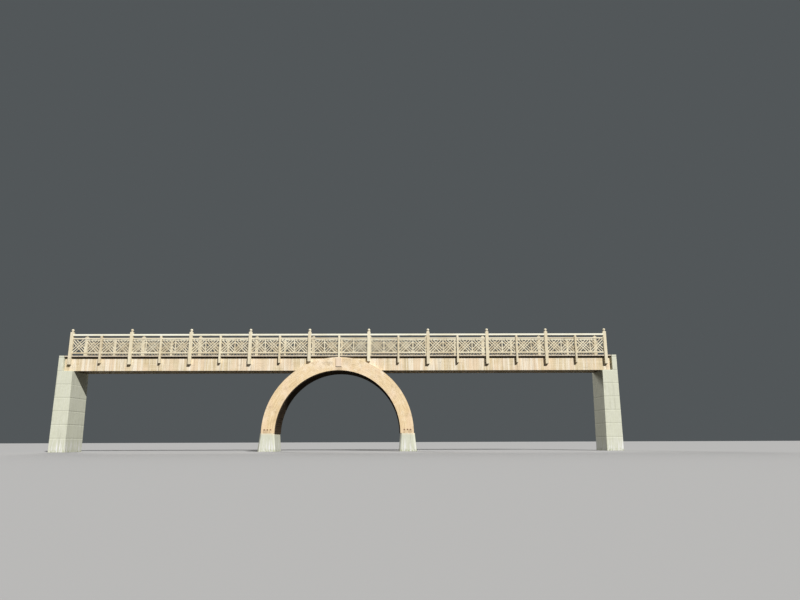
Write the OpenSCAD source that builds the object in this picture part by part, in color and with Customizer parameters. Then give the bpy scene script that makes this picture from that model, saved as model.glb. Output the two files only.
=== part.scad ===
// Moon bridge: a level timber footbridge that rests on a half-round laminated arch.
// Length runs along X, the front side faces -Y, and Z = 0 is the underside of the footings.
// All sizes are in millimetres.

/* [Railing bays] */
// Spacing of the railing posts, centre to centre
bay = 1372; // [1250:1:1450]

/* [Arch] */
// Radius of the arch's outer curve
arch_outer_r = 3425; // [3200:5:3700]
// Depth of the arch ring, from its inner curve to its outer curve
ring_depth = 600; // [500:5:680]
// Overall width of the arch, across the bridge
arch_width = 1520; // [1400:10:1800]
// Thickness of each laminated rib, across the bridge
rib_t = 130; // [90:1:160]
// Thickness of the boarding under the ribs
soffit_t = 38; // [25:1:60]
// Set-back of that boarding from the ribs' outer faces
soffit_setback = 40; // [10:1:100]
// Side of the square struts between the two ribs
spreader_w = 140; // [90:1:180]

/* [Crown cover] */
// Width of the cover block over the crown joint
cover_w = 260; // [180:1:360]
// Height of the cover block
cover_h = 400; // [250:1:480]
// Thickness of the cover block
cover_t = 30; // [15:1:45]
// Distance from the crown down to the top of the cover block
cover_drop = 35; // [20:1:80]

/* [Footings] */
// Height of the concrete footings under the arch
foot_h = 795; // [500:5:1200]
// Ledge of a footing outside the arch's outer curve
foot_ledge = 40; // [10:1:140]
// Slope of a footing's outer side, top to bottom
foot_batter_out = 90; // [20:1:140]
// Slope of a footing's inner side, top to bottom
foot_batter_in = 70; // [10:1:120]
// Overhang of a footing past the arch, front and back
foot_side = 15; // [5:1:60]
// Chamfer on a footing's corners, measured along each side
foot_chamfer = 60; // [10:1:90]

/* [Girders and deck] */
// Thickness of each side girder
girder_t = 130; // [90:1:180]
// Gap between the arch's crown and the underside of the deck
crown_gap = 31; // [10:1:60]
// Thickness of the deck
deck_t = 64; // [38:1:90]
// Overhang of the deck past the girders' outer faces
deck_overhang = 110; // [60:1:125]
// Run of the girders and deck past the middle of the end posts
end_run = 229; // [110:1:400]
// Thickness of the cross blocks between the girders
block_t = 89; // [60:1:140]
// Depth of the cross blocks
block_h = 300; // [150:5:400]

/* [Abutments] */
// Length of the seat that carries the girders' ends
seat_l = 450; // [300:5:700]
// Thickness of the wall behind the girders' ends
back_wall_t = 220; // [150:5:350]
// Joint between the deck's end and that wall
end_joint = 20; // [5:1:40]
// Overhang of an abutment past the girders' outer faces
abutment_side = 130; // [60:1:250]
// Slope of an abutment's front face, top to bottom
abutment_batter = 60; // [20:1:150]

/* [Posts] */
// Width of the tall posts, seen from the front
tall_post_w = 140; // [110:1:160]
// Width of the short posts, seen from the front
short_post_w = 89; // [70:1:120]
// Depth of all posts, across the bridge
post_d = 140; // [126:1:160]
// Rise of the tall posts' square shafts above the handrail
shaft_rise = 98; // [60:1:160]
// Diameter of the turned ball on a tall post
ball_d = 126; // [100:1:140]
// Diameter of the foot of the turned neck below the ball
neck_foot_d = 104; // [90:1:110]
// Height of that neck, up to where it meets the ball
neck_h = 36; // [24:1:50]
// Radius of the hollow turned into the neck
neck_hollow_r = 17; // [8:1:20]
// Chamfer on the upper and lower edges of the posts
post_chamfer = 8; // [3:1:14]
// Reach of the tall posts below the deck's surface
tall_reach = 412; // [300:1:500]
// Reach of the short posts below the deck's surface
short_reach = 356; // [250:1:450]
// Height of the posts' ends above the arch, where they meet it
post_arch_gap = 60; // [30:1:120]
// Play between the deck's notches and the posts
notch_gap = 3; // [1:0.5:6]

/* [Handrails] */
// Height of the handrails
handrail_h = 80; // [60:1:100]
// Radius of the handrails' upper edges
handrail_round = 14; // [5:1:25]
// Gap between the lattice's top rail and the handrail
top_gap = 95; // [50:1:150]

/* [Lattice] */
// Height of the lattice field between its rails
field_h = 600; // [520:1:680]
// Height of the lattice's top and bottom rails
lattice_rail_h = 65; // [45:1:80]
// Thickness of those rails
lattice_rail_t = 60; // [50:1:90]
// Gap between the deck and the lattice's bottom rail
bottom_gap = 90; // [50:1:150]
// Width of the slats
slat_w = 40; // [30:1:50]
// Thickness of the slats
slat_t = 20; // [12:1:24]
// Spacing of parallel slats, measured square to them
slat_pitch = 96; // [80:1:120]
// Width of the upright in the middle of each bay
stile_w = 42; // [30:1:60]

/* [Hidden] */
$fn = 180;

// Bays from the crown to each end post, an odd number so that the bridge ends in tall posts
half_bays = 9;
// Clearance between pieces that only rest on one another
seat = 0.3;
// Extra length of a cutting shape past the face that it cuts
cut = 10;
// Angles of the struts between the ribs, up from the springing
spreader_angles = [16, 44];
// Parallel slats on each side of a cell's diagonal
side_slats = 1;
// Height of the flat foot and collar left by the hollow of a neck
neck_lip = 5;

arch_inner_r = arch_outer_r - ring_depth;
soffit_inner_r = arch_inner_r - soffit_t;
crown_z = foot_h + arch_outer_r;
girder_z = foot_h + arch_inner_r;
deck_under = crown_z + crown_gap;
deck_z = deck_under + deck_t;
face_y = arch_width / 2;
girder_y = face_y - rib_t;
post_y = girder_y + post_d / 2;
deck_y = girder_y + deck_overhang;
end_post_x = half_bays * bay;
deck_x = end_post_x + end_run;
wall_x = deck_x + end_joint;
field_z = deck_z + bottom_gap + lattice_rail_h;
lattice_z = deck_z + bottom_gap;
handrail_z = field_z + field_h + lattice_rail_h + top_gap;
handrail_top = handrail_z + handrail_h;
shaft_top = handrail_top + shaft_rise;

// Height of the arch's outer curve at a distance x from the crown
function arch_top(x) = foot_h + sqrt(max(0, pow(arch_outer_r, 2) - pow(x, 2)));

// Lowest point of the post n bays from the crown: on the crown, clear of the arch, or hanging free
function post_foot(n, width, reach) =
    n == 0 ? crown_z + seat
           : max(deck_z - reach, arch_top(abs(n) * bay - width / 2) + post_arch_gap);

// Box given by its lowest and highest corners
module block(low, high) {
    translate(low) cube(high - low);
}

// Extrudes a drawing of X and Z along Y, between two values of Y
module across(y_low, y_high) {
    translate([0, y_high, 0]) rotate([90, 0, 0]) linear_extrude(height = y_high - y_low) children();
}

// Draws the children on the front side, or mirrored onto the back side
module on_side(side) {
    if (side == "front") children();
    else mirror([0, 1, 0]) children();
}

// Draws the children on the right of the crown, or mirrored onto its left
module on_end(end) {
    if (end == "right") children();
    else mirror([1, 0, 0]) children();
}

// Quarter of a ring about the arch's centre, on the right of the crown
module quarter_ring(inner_r, outer_r, y_low, y_high) {
    intersection() {
        translate([0, y_high, foot_h]) rotate([90, 0, 0]) difference() {
            cylinder(r = outer_r, h = y_high - y_low);
            translate([0, 0, -cut]) cylinder(r = inner_r, h = y_high - y_low + 2 * cut);
        }
        block([0, y_low - cut, foot_h], [outer_r + cut, y_high + cut, foot_h + outer_r + cut]);
    }
}

// Block whose side at X = 0 leans back by a rise over foot_h, with both its corners chamfered
module leaning_block(batter, half_y) {
    reach = 2 * ring_depth;
    rotate([0, -atan(batter / foot_h), 0]) translate([0, 0, -cut]) linear_extrude(height = 2 * foot_h)
        polygon([
            [0, foot_chamfer - half_y], [0, half_y - foot_chamfer], [-foot_chamfer, half_y],
            [-reach, half_y], [-reach, -half_y], [-foot_chamfer, -half_y]
        ]);
}

// Concrete footing of one leg: battered sides with chamfers that follow them
module footing(end) {
    low_in = arch_inner_r - foot_batter_in;
    low_out = arch_outer_r + foot_ledge + foot_batter_out;
    half_y = face_y + foot_side;
    color("lightgray") on_end(end) intersection() {
        translate([low_out, 0, 0]) leaning_block(foot_batter_out, half_y);
        translate([low_in, 0, 0]) mirror([1, 0, 0]) leaning_block(foot_batter_in, half_y);
        block([low_in - cut, -half_y - cut, 0], [low_out + cut, half_y + cut, foot_h]);
    }
}

// Concrete abutment at one end: battered wall, seat for the girders and wall behind their ends
module abutment(end) {
    half_y = girder_y + abutment_side;
    seat_x = deck_x - seat_l;
    outer_x = wall_x + back_wall_t;
    color("lightgray") on_end(end) across(-half_y, half_y)
        polygon([
            [seat_x - abutment_batter, 0], [outer_x, 0], [outer_x, deck_z], [wall_x, deck_z],
            [wall_x, girder_z], [seat_x, girder_z]
        ]);
}

// Laminated rib: half of the arch on one side of the bridge
module rib(side, end) {
    color("burlywood") on_side(side) on_end(end)
        quarter_ring(arch_inner_r, arch_outer_r, -face_y, -girder_y);
}

// Cover block over the joint between the two ribs of one side
module crown_cover(side) {
    top = crown_z - cover_drop;
    color("tan") on_side(side)
        block([-cover_w / 2, -face_y - cover_t, top - cover_h], [cover_w / 2, -face_y, top]);
}

// Curved boarding that closes the underside of one half of the arch
module soffit(end) {
    half_y = face_y - soffit_setback;
    color("sienna") on_end(end) quarter_ring(soffit_inner_r, arch_inner_r, -half_y, half_y);
}

// Struts that hold the front and back ribs apart
module arch_spreaders() {
    mid_r = (arch_inner_r + arch_outer_r) / 2;
    color("sienna") for (end = ["left", "right"], angle = spreader_angles)
        on_end(end) translate([0, 0, foot_h]) rotate([0, -angle, 0])
            translate([mid_r - spreader_w / 2, -girder_y, -spreader_w / 2])
                cube([spreader_w, 2 * girder_y, spreader_w]);
}

// Side girder, from abutment to abutment
module girder(side) {
    color("tan") on_side(side)
        block([-deck_x, -girder_y, girder_z], [deck_x, girder_t - girder_y, deck_under]);
}

// Blocks between the girders, below the tall posts
module cross_blocks() {
    half_y = girder_y - girder_t;
    color("sienna") for (n = [-half_bays : 2 : half_bays])
        translate([n * bay, 0, 0])
            block([-block_t / 2, -half_y, deck_under - block_h], [block_t / 2, half_y, deck_under]);
}

// Deck, notched round every post on both edges
module deck() {
    color("peru") difference() {
        block([-deck_x, -deck_y, deck_under], [deck_x, deck_y, deck_z]);
        for (side = ["front", "back"], n = [-half_bays : half_bays]) {
            width = (n % 2 == 0 ? short_post_w : tall_post_w) + 2 * notch_gap;
            on_side(side) translate([n * bay, 0, 0])
                block([-width / 2, -deck_y - cut, deck_under - cut],
                      [width / 2, notch_gap - girder_y, deck_z + cut]);
        }
    }
}

// Outline of a post as seen from one side, with its upper and lower edges chamfered
module post_outline(width, length) {
    half = width / 2;
    inner = half - post_chamfer;
    polygon([
        [-inner, 0], [inner, 0], [half, post_chamfer], [half, length - post_chamfer],
        [inner, length], [-inner, length], [-half, length - post_chamfer], [-half, post_chamfer]
    ]);
}

// Square post with chamfered ends, standing on Z = 0
module post(width, length) {
    intersection() {
        across(-post_d / 2, post_d / 2) post_outline(width, length);
        rotate([0, 0, 90]) across(-width / 2, width / 2) post_outline(post_d, length);
    }
}

// Turned ball on its hollowed neck, standing on Z = 0
module ball_head() {
    ball_r = ball_d / 2;
    foot_r = neck_foot_d / 2;
    // Half-chord of the ball where the neck meets it
    collar_r = foot_r - neck_hollow_r + neck_lip;
    ball_z = neck_h + sqrt(pow(ball_r, 2) - pow(collar_r, 2));
    rotate_extrude() difference() {
        square([foot_r, neck_h]);
        translate([foot_r + neck_lip, neck_lip + neck_hollow_r]) circle(r = neck_hollow_r, $fn = 64);
        translate([collar_r, neck_lip + neck_hollow_r]) square([foot_r, neck_h]);
    }
    translate([0, 0, ball_z]) difference() {
        sphere(r = ball_r);
        block([-ball_d, -ball_d, -ball_d], [ball_d, ball_d, neck_h - ball_z]);
    }
}

// Tall posts of one side, each a square shaft with a turned ball on top
module tall_posts(side) {
    color("wheat") on_side(side) for (n = [-half_bays : 2 : half_bays]) {
        foot = post_foot(n, tall_post_w, tall_reach);
        translate([n * bay, -post_y, foot]) union() {
            post(tall_post_w, shaft_top - foot);
            translate([0, 0, shaft_top - foot]) ball_head();
        }
    }
}

// Short posts of one side, up to the handrail
module short_posts(side) {
    color("wheat") on_side(side) for (n = [1 - half_bays : 2 : half_bays - 1]) {
        foot = post_foot(n, short_post_w, short_reach);
        length = handrail_z - foot;
        translate([n * bay, -post_y, foot]) intersection() {
            post(short_post_w, length + post_chamfer);
            block([-post_d, -post_d, 0], [post_d, post_d, length]);
        }
    }
}

// Section of the handrail, with its upper edges rounded
module handrail_section() {
    half = post_d / 2;
    round_z = handrail_h - handrail_round;
    union() {
        translate([-half, 0]) square([post_d, round_z]);
        translate([handrail_round - half, 0]) square([post_d - 2 * handrail_round, handrail_h]);
        for (side = [-1, 1])
            translate([side * (half - handrail_round), round_z]) circle(r = handrail_round, $fn = 32);
    }
}

// Handrails of one side, each from one tall post to the next
module handrails(side) {
    color("wheat") on_side(side) for (n = [-half_bays : 2 : half_bays - 2])
        translate([n * bay + tall_post_w / 2, -post_y, handrail_z])
            rotate([90, 0, 90]) linear_extrude(height = 2 * bay - tall_post_w) handrail_section();
}

// Slats of one cell in one direction, cut to the cell; lean is 1 or -1
module cell_slats(width, lean) {
    angle = lean * atan(field_h / width);
    length = width + field_h;
    intersection() {
        square([width, field_h]);
        translate([width / 2, field_h / 2]) rotate(angle) for (k = [-side_slats : side_slats])
            translate([-length / 2, k * slat_pitch - slat_w / 2]) square([length, slat_w]);
    }
}

// Lattice of one bay between two posts: rails, middle upright and two cells of crossed slats
module bay_lattice(width) {
    cell_w = (width - stile_w) / 2;
    rail_y = lattice_rail_t / 2;
    top = lattice_rail_h + field_h;
    union() {
        for (z = [0, top])
            block([0, -rail_y, z], [width, rail_y, z + lattice_rail_h]);
        block([cell_w, -slat_t, lattice_rail_h], [cell_w + stile_w, slat_t, top]);
        for (x = [0, cell_w + stile_w]) translate([x, 0, lattice_rail_h]) {
            across(-slat_t, 0) cell_slats(cell_w, 1);
            across(0, slat_t) cell_slats(cell_w, -1);
        }
    }
}

// Lattice between two tall posts, one bay on each side of the short post; panels count from the left
module lattice(side, panel) {
    clear_w = bay - (tall_post_w + short_post_w) / 2;
    middle = 2 * panel - half_bays - 1;
    color("wheat") on_side(side) translate([middle * bay, -post_y, lattice_z]) {
        translate([short_post_w / 2, 0, 0]) bay_lattice(clear_w);
        translate([-short_post_w / 2 - clear_w, 0, 0]) bay_lattice(clear_w);
    }
}

footing("left");  // left_footing
footing("right");  // right_footing
abutment("left");  // left_abutment
abutment("right");  // right_abutment
rib("front", "left");  // front_left_rib
rib("front", "right");  // front_right_rib
rib("back", "left");  // back_left_rib
rib("back", "right");  // back_right_rib
crown_cover("front");  // front_crown_cover
crown_cover("back");  // back_crown_cover
soffit("left");  // left_soffit
soffit("right");  // right_soffit
arch_spreaders();
girder("front");  // front_girder
girder("back");  // back_girder
cross_blocks();
deck();
tall_posts("front");  // front_tall_posts
short_posts("front");  // front_short_posts
tall_posts("back");  // back_tall_posts
short_posts("back");  // back_short_posts
handrails("front");  // front_handrails
handrails("back");  // back_handrails
lattice("front", 1);  // front_lattice_1
lattice("front", 2);  // front_lattice_2
lattice("front", 3);  // front_lattice_3
lattice("front", 4);  // front_lattice_4
lattice("front", 5);  // front_lattice_5
lattice("front", 6);  // front_lattice_6
lattice("front", 7);  // front_lattice_7
lattice("front", 8);  // front_lattice_8
lattice("front", 9);  // front_lattice_9
lattice("back", 1);  // back_lattice_1
lattice("back", 2);  // back_lattice_2
lattice("back", 3);  // back_lattice_3
lattice("back", 4);  // back_lattice_4
lattice("back", 5);  // back_lattice_5
lattice("back", 6);  // back_lattice_6
lattice("back", 7);  // back_lattice_7
lattice("back", 8);  // back_lattice_8
lattice("back", 9);  // back_lattice_9
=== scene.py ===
"""Dresses the timber moon bridge: laminated arch, side girders, plank deck and lattice railings.

Lengths are in metres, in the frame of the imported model: X along the bridge, -Y to the front and
Z up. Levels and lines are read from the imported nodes. The sizes of boards, screws and bolts are
fields of the class that makes them.
"""

import logging
import math
import random
from dataclasses import dataclass, field
from enum import Enum
from typing import Any, Callable, Iterable, Iterator, NamedTuple, Sequence

import bmesh
import bpy
from mathutils import Matrix, Vector, noise


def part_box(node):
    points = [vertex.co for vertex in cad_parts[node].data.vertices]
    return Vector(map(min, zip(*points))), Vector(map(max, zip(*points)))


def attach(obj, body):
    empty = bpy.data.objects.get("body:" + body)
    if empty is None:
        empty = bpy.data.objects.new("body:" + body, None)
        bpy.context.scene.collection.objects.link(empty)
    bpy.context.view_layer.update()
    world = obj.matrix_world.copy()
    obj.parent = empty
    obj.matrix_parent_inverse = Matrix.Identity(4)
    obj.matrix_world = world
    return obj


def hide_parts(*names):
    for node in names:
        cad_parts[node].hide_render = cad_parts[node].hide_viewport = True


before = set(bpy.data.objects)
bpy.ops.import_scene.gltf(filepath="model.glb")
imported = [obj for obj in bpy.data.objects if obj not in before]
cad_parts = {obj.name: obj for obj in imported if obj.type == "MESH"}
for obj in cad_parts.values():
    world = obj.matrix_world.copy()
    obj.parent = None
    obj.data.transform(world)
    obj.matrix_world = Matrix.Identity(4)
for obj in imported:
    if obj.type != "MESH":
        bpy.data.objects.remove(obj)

LOG = logging.getLogger("moon_bridge")
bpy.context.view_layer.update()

# Least and most that a board's grain is shifted along, across and through it
GRAIN_SHIFT = ((0.0, 60.0), (0.04, 0.16), (-0.12, 0.12))
# Least and most shift of a copy's grain, each along, across and through the board
COPY_SHIFT = ((0.0, -0.05, -0.05), (40.0, 0.05, 0.05))
# More than the parts of any mesh that is repeated
PARTS_A_COPY = 97.0
# Most of an edge that a cut corner takes from one end
CUT_SHARE = 0.4
# Least squared length of two edges' summed normals, which limits how far a sharp corner moves
LEAST_NORMAL = 0.2

Colour = tuple[float, float, float]
Outline = list[tuple[float, float]]
Ring = list[tuple[Vector, Vector]]


class Half(Enum):
    """A half of the bridge that the nodes name."""

    @property
    def word(self) -> str:
        """Name of the half as the nodes spell it."""
        return self.name.lower()


class Side(Half):
    """Side of the bridge, as the sign of Y."""

    FRONT = -1
    BACK = 1

    @property
    def turn(self) -> float:
        """Angle about X that turns a head from facing up to facing out of this side."""
        return -self.value * math.pi / 2

    def outward(self, place: Sequence[float]) -> Matrix:
        """Matrix that puts a head at a place, facing out of this side."""
        return Matrix.Translation(place) @ Matrix.Rotation(self.turn, 4, "X")


class End(Half):
    """Half of the bridge's length, as the sign of X."""

    LEFT = -1
    RIGHT = 1

    @property
    def angles(self) -> tuple[float, float]:
        """Where this half of the arch starts and stops, up from the right-hand springing."""
        return (0.0, math.pi / 2) if self is End.RIGHT else (math.pi / 2, math.pi)


class Grain(Enum):
    """Direction of a straight timber's grain: rows are its length, width and thickness."""

    ALONG_X = ((1, 0, 0), (0, 1, 0), (0, 0, 1))
    ALONG_Y = ((0, 1, 0), (0, 0, 1), (1, 0, 0))
    ALONG_Z = ((0, 0, 1), (1, 0, 0), (0, 1, 0))


@dataclass(frozen=True)
class Layout:
    """Levels and lines of the bridge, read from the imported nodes."""

    bay: float
    half_bays: int
    tall_w: float
    short_w: float
    post_in: float
    post_out: float
    spring_z: float
    outer_r: float
    inner_r: float
    face_y: float
    girder_y: float
    girder_in: float
    deck_y: float
    deck_under: float
    deck_z: float
    rail_z: float
    ball_top: float

    @classmethod
    def read(cls) -> "Layout":
        """Works the levels and lines out from the boxes of the nodes.

        Returns:
            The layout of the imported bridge.
        """
        _, panel_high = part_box("front_lattice_5")
        tall_low, tall_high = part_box("front_tall_posts")
        _, short_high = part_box("front_short_posts")
        rib_low, rib_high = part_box("front_right_rib")
        girder_low, girder_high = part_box("front_girder")
        deck_low, deck_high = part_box("deck")
        hand_low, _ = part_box("front_handrails")
        half_bays = sum(name.startswith("front_lattice_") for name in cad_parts)
        bay = (panel_high.x + tall_high.x) / (half_bays + 1)
        return cls(
            bay=bay,
            half_bays=half_bays,
            tall_w=2 * (bay - panel_high.x),
            short_w=2 * (short_high.x - (half_bays - 1) * bay),
            post_in=-tall_high.y,
            post_out=-tall_low.y,
            spring_z=rib_low.z,
            outer_r=rib_high.x,
            inner_r=girder_low.z - rib_low.z,
            face_y=-rib_low.y,
            girder_y=-girder_low.y,
            girder_in=-girder_high.y,
            deck_y=deck_high.y,
            deck_under=deck_low.z,
            deck_z=deck_high.z,
            rail_z=hand_low.z,
            ball_top=tall_high.z,
        )

    def is_tall(self, number: int) -> bool:
        """True where the post that many bays from the crown is a tall one."""
        return number % 2 != 0

    def posts(self, tall: bool) -> list[int]:
        """Numbers of the tall or the short posts, counted in bays from the crown."""
        reach = range(-self.half_bays, self.half_bays + 1)
        return [n for n in reach if self.is_tall(n) == tall]


# Node trees


def operator(operation: str, flipped: bool = False) -> Callable[..., "Value"]:
    """Method of a value that adds a Math node.

    Args:
        operation: Operation of the node.
        flipped: True where the other value comes first.

    Returns:
        The method.
    """

    def method(value: "Value", *others: "Value | float") -> "Value":
        """Result of the operation."""
        values = (*others, value) if flipped else (value, *others)
        return value.graph.maths(operation, *values)

    return method


@dataclass(frozen=True, eq=False)
class Value:
    """Output of a node that Python expressions combine; each operator adds a Math node."""

    graph: "Graph"
    socket: bpy.types.NodeSocket

    __add__ = operator("ADD")
    __radd__ = operator("ADD", flipped=True)
    __sub__ = operator("SUBTRACT")
    __rsub__ = operator("SUBTRACT", flipped=True)
    __mul__ = operator("MULTIPLY")
    __rmul__ = operator("MULTIPLY", flipped=True)
    __truediv__ = operator("DIVIDE")
    __rtruediv__ = operator("DIVIDE", flipped=True)
    __mod__ = operator("FLOORED_MODULO")
    __abs__ = operator("ABSOLUTE")
    floor = operator("FLOOR")
    sine = operator("SINE")
    cosine = operator("COSINE")
    least = operator("MINIMUM")
    most = operator("MAXIMUM")

    def ramp(self, low: float, high: float) -> "Value":
        """Smooth step from 0 at low to 1 at high; low may be above high.

        Args:
            low: Where the result is 0.
            high: Where the result is 1.

        Returns:
            The stepped value.
        """
        settings = {"interpolation_type": "SMOOTHSTEP", "clamp": True}
        sockets = {"Value": self, "From Min": low, "From Max": high}
        return self.graph.add("ShaderNodeMapRange", settings, sockets).out("Result")


Place = tuple[Value, Value, Value]
Coat = tuple[Value | None, Colour]


@dataclass(frozen=True, eq=False)
class Node:
    """A node that was added to a tree, with its outputs as values."""

    graph: "Graph"
    node: bpy.types.Node

    def out(self, key: str | int = 0) -> Value:
        """Output of that name or number."""
        return Value(self.graph, self.node.outputs[key])


class Graph:
    """Builds a shader or geometry tree."""

    def __init__(self, tree: bpy.types.NodeTree) -> None:
        """Clears the tree that the nodes go into."""
        self.tree = tree
        tree.nodes.clear()

    def add(
        self,
        kind: str,
        settings: dict[str, Any] | None = None,
        sockets: dict[str | int, Any] | None = None,
    ) -> Node:
        """Adds any node: first its settings, then the values or links of its sockets.

        Args:
            kind: Type of the node.
            settings: Properties of the node, by name.
            sockets: Value, or output of another node, for each input by name or number.

        Returns:
            The new node.
        """
        node = self.tree.nodes.new(kind)
        for name, value in (settings or {}).items():
            setattr(node, name, value)
        for key, value in (sockets or {}).items():
            if isinstance(value, Value):
                self.tree.links.new(value.socket, node.inputs[key])
            else:
                node.inputs[key].default_value = value
        return Node(self, node)

    def maths(self, operation: str, *values: Value | float) -> Value:
        """Math node on values or numbers."""
        sockets = dict(enumerate(values))
        return self.add("ShaderNodeMath", {"operation": operation}, sockets).out()

    def vectors(self, operation: str, *values: Value | Sequence[float], out: str = "Vector") -> Value:
        """Vector Math node on vectors or colours."""
        sockets = dict(enumerate(values))
        return self.add("ShaderNodeVectorMath", {"operation": operation}, sockets).out(out)

    def scaled(self, vector: Value, factor: Value) -> Value:
        """Vector times a value."""
        sockets = {0: vector, "Scale": factor}
        return self.add("ShaderNodeVectorMath", {"operation": "SCALE"}, sockets).out()

    def combine(self, x: Value | float, y: Value | float, z: Value | float) -> Value:
        """Vector of three values."""
        return self.add("ShaderNodeCombineXYZ", None, {"X": x, "Y": y, "Z": z}).out()

    def split(self, vector: Value) -> Place:
        """Three values of a vector."""
        node = self.add("ShaderNodeSeparateXYZ", None, {0: vector})
        return node.out("X"), node.out("Y"), node.out("Z")


class Paint(Graph):
    """Shader tree of one material or of the world."""

    def mix(self, factor: Value | float, low: Value | Colour, high: Value | Colour) -> Value:
        """Colour between two colours.

        Args:
            factor: 0 for the first colour, 1 for the second.
            low: First colour.
            high: Second colour.

        Returns:
            The mixed colour.
        """
        ends = [c if isinstance(c, Value) else (*c, 1.0) for c in (low, high)]
        settings = {"data_type": "RGBA", "clamp_factor": True}
        return self.add("ShaderNodeMix", settings, {0: factor, 6: ends[0], 7: ends[1]}).out(2)

    def coated(self, colour: Value, coats: Iterable[Coat]) -> Value:
        """Colour under coats that are laid on in order.

        Args:
            colour: Colour at the start.
            coats: For each coat, where it shows and its colour; a coat of None is left out.

        Returns:
            The coated colour.
        """
        for cover, coat in coats:
            if cover is not None:
                colour = self.mix(cover, colour, coat)
        return colour

    def texture(self, kind: str, place: Place, scales: Sequence[float], **sockets: float) -> Node:
        """Texture over a place, with its own scale along each axis."""
        vector = self.combine(*(p * s for p, s in zip(place, scales)))
        return self.add(kind, None, {"Vector": vector, "Scale": 1.0, **sockets})

    def noise(
        self, place: Place, scales: Sequence[float], detail: float = 2.0, roughness: float = 0.5
    ) -> Value:
        """Noise from 0 to 1."""
        return self.texture("ShaderNodeTexNoise", place, scales, Detail=detail, Roughness=roughness).out()

    def dots(self, place: Place, scales: Sequence[float]) -> Value:
        """Distance to the nearest of scattered points."""
        return self.texture("ShaderNodeTexVoronoi", place, scales).out("Distance")

    def place(self) -> Place:
        """Place in the bridge."""
        return self.split(self.add("ShaderNodeTexCoord").out("Object"))

    def facing(self) -> Place:
        """Direction that the surface faces."""
        return self.split(self.add("ShaderNodeNewGeometry").out("Normal"))

    def named(self, name: str) -> Place:
        """Three values of a mesh attribute."""
        return self.split(self.add("ShaderNodeAttribute", {"attribute_name": name}).out("Vector"))

    def bump(self, height: Value, distance: float) -> Value:
        """Normal that follows a height from 0 to 1 times a distance."""
        sockets = {"Strength": 1.0, "Distance": distance, "Height": height}
        return self.add("ShaderNodeBump", None, sockets).out()

    def surface(self, sockets: dict[str, Any]) -> None:
        """Ends the tree with a Principled shader that has these inputs."""
        shader = self.add("ShaderNodeBsdfPrincipled", None, sockets).out()
        self.add("ShaderNodeOutputMaterial", None, {"Surface": shader})


def shade(colour: Colour, share: float) -> Colour:
    """The same colour at a share of its brightness."""
    return tuple(c * share for c in colour)


# Finishes


@dataclass(frozen=True, kw_only=True)
class Finish:
    """A material of the bridge, and the name of its slot."""

    name: str
    slot: str

    def material(self) -> bpy.types.Material:
        """Material of this finish, built on its first use."""
        return bpy.data.materials.get(self.name) or self.build()

    def build(self) -> bpy.types.Material:
        """Builds the material.

        Returns:
            The new material.
        """
        material = bpy.data.materials.new(self.name)
        material.use_nodes = True
        paint = Paint(material.node_tree)
        paint.surface(self.sockets(paint))
        return material

    def sockets(self, paint: Paint) -> dict[str, Any]:
        """Inputs of the Principled shader, by name."""
        raise NotImplementedError


class Figure(NamedTuple):
    """Pattern of a board, each value from 0 to 1."""

    late: Value
    fibre: Value
    cloud: Value
    heart: Value
    near_end: Value
    crack: Value
    tone: Value


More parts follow.
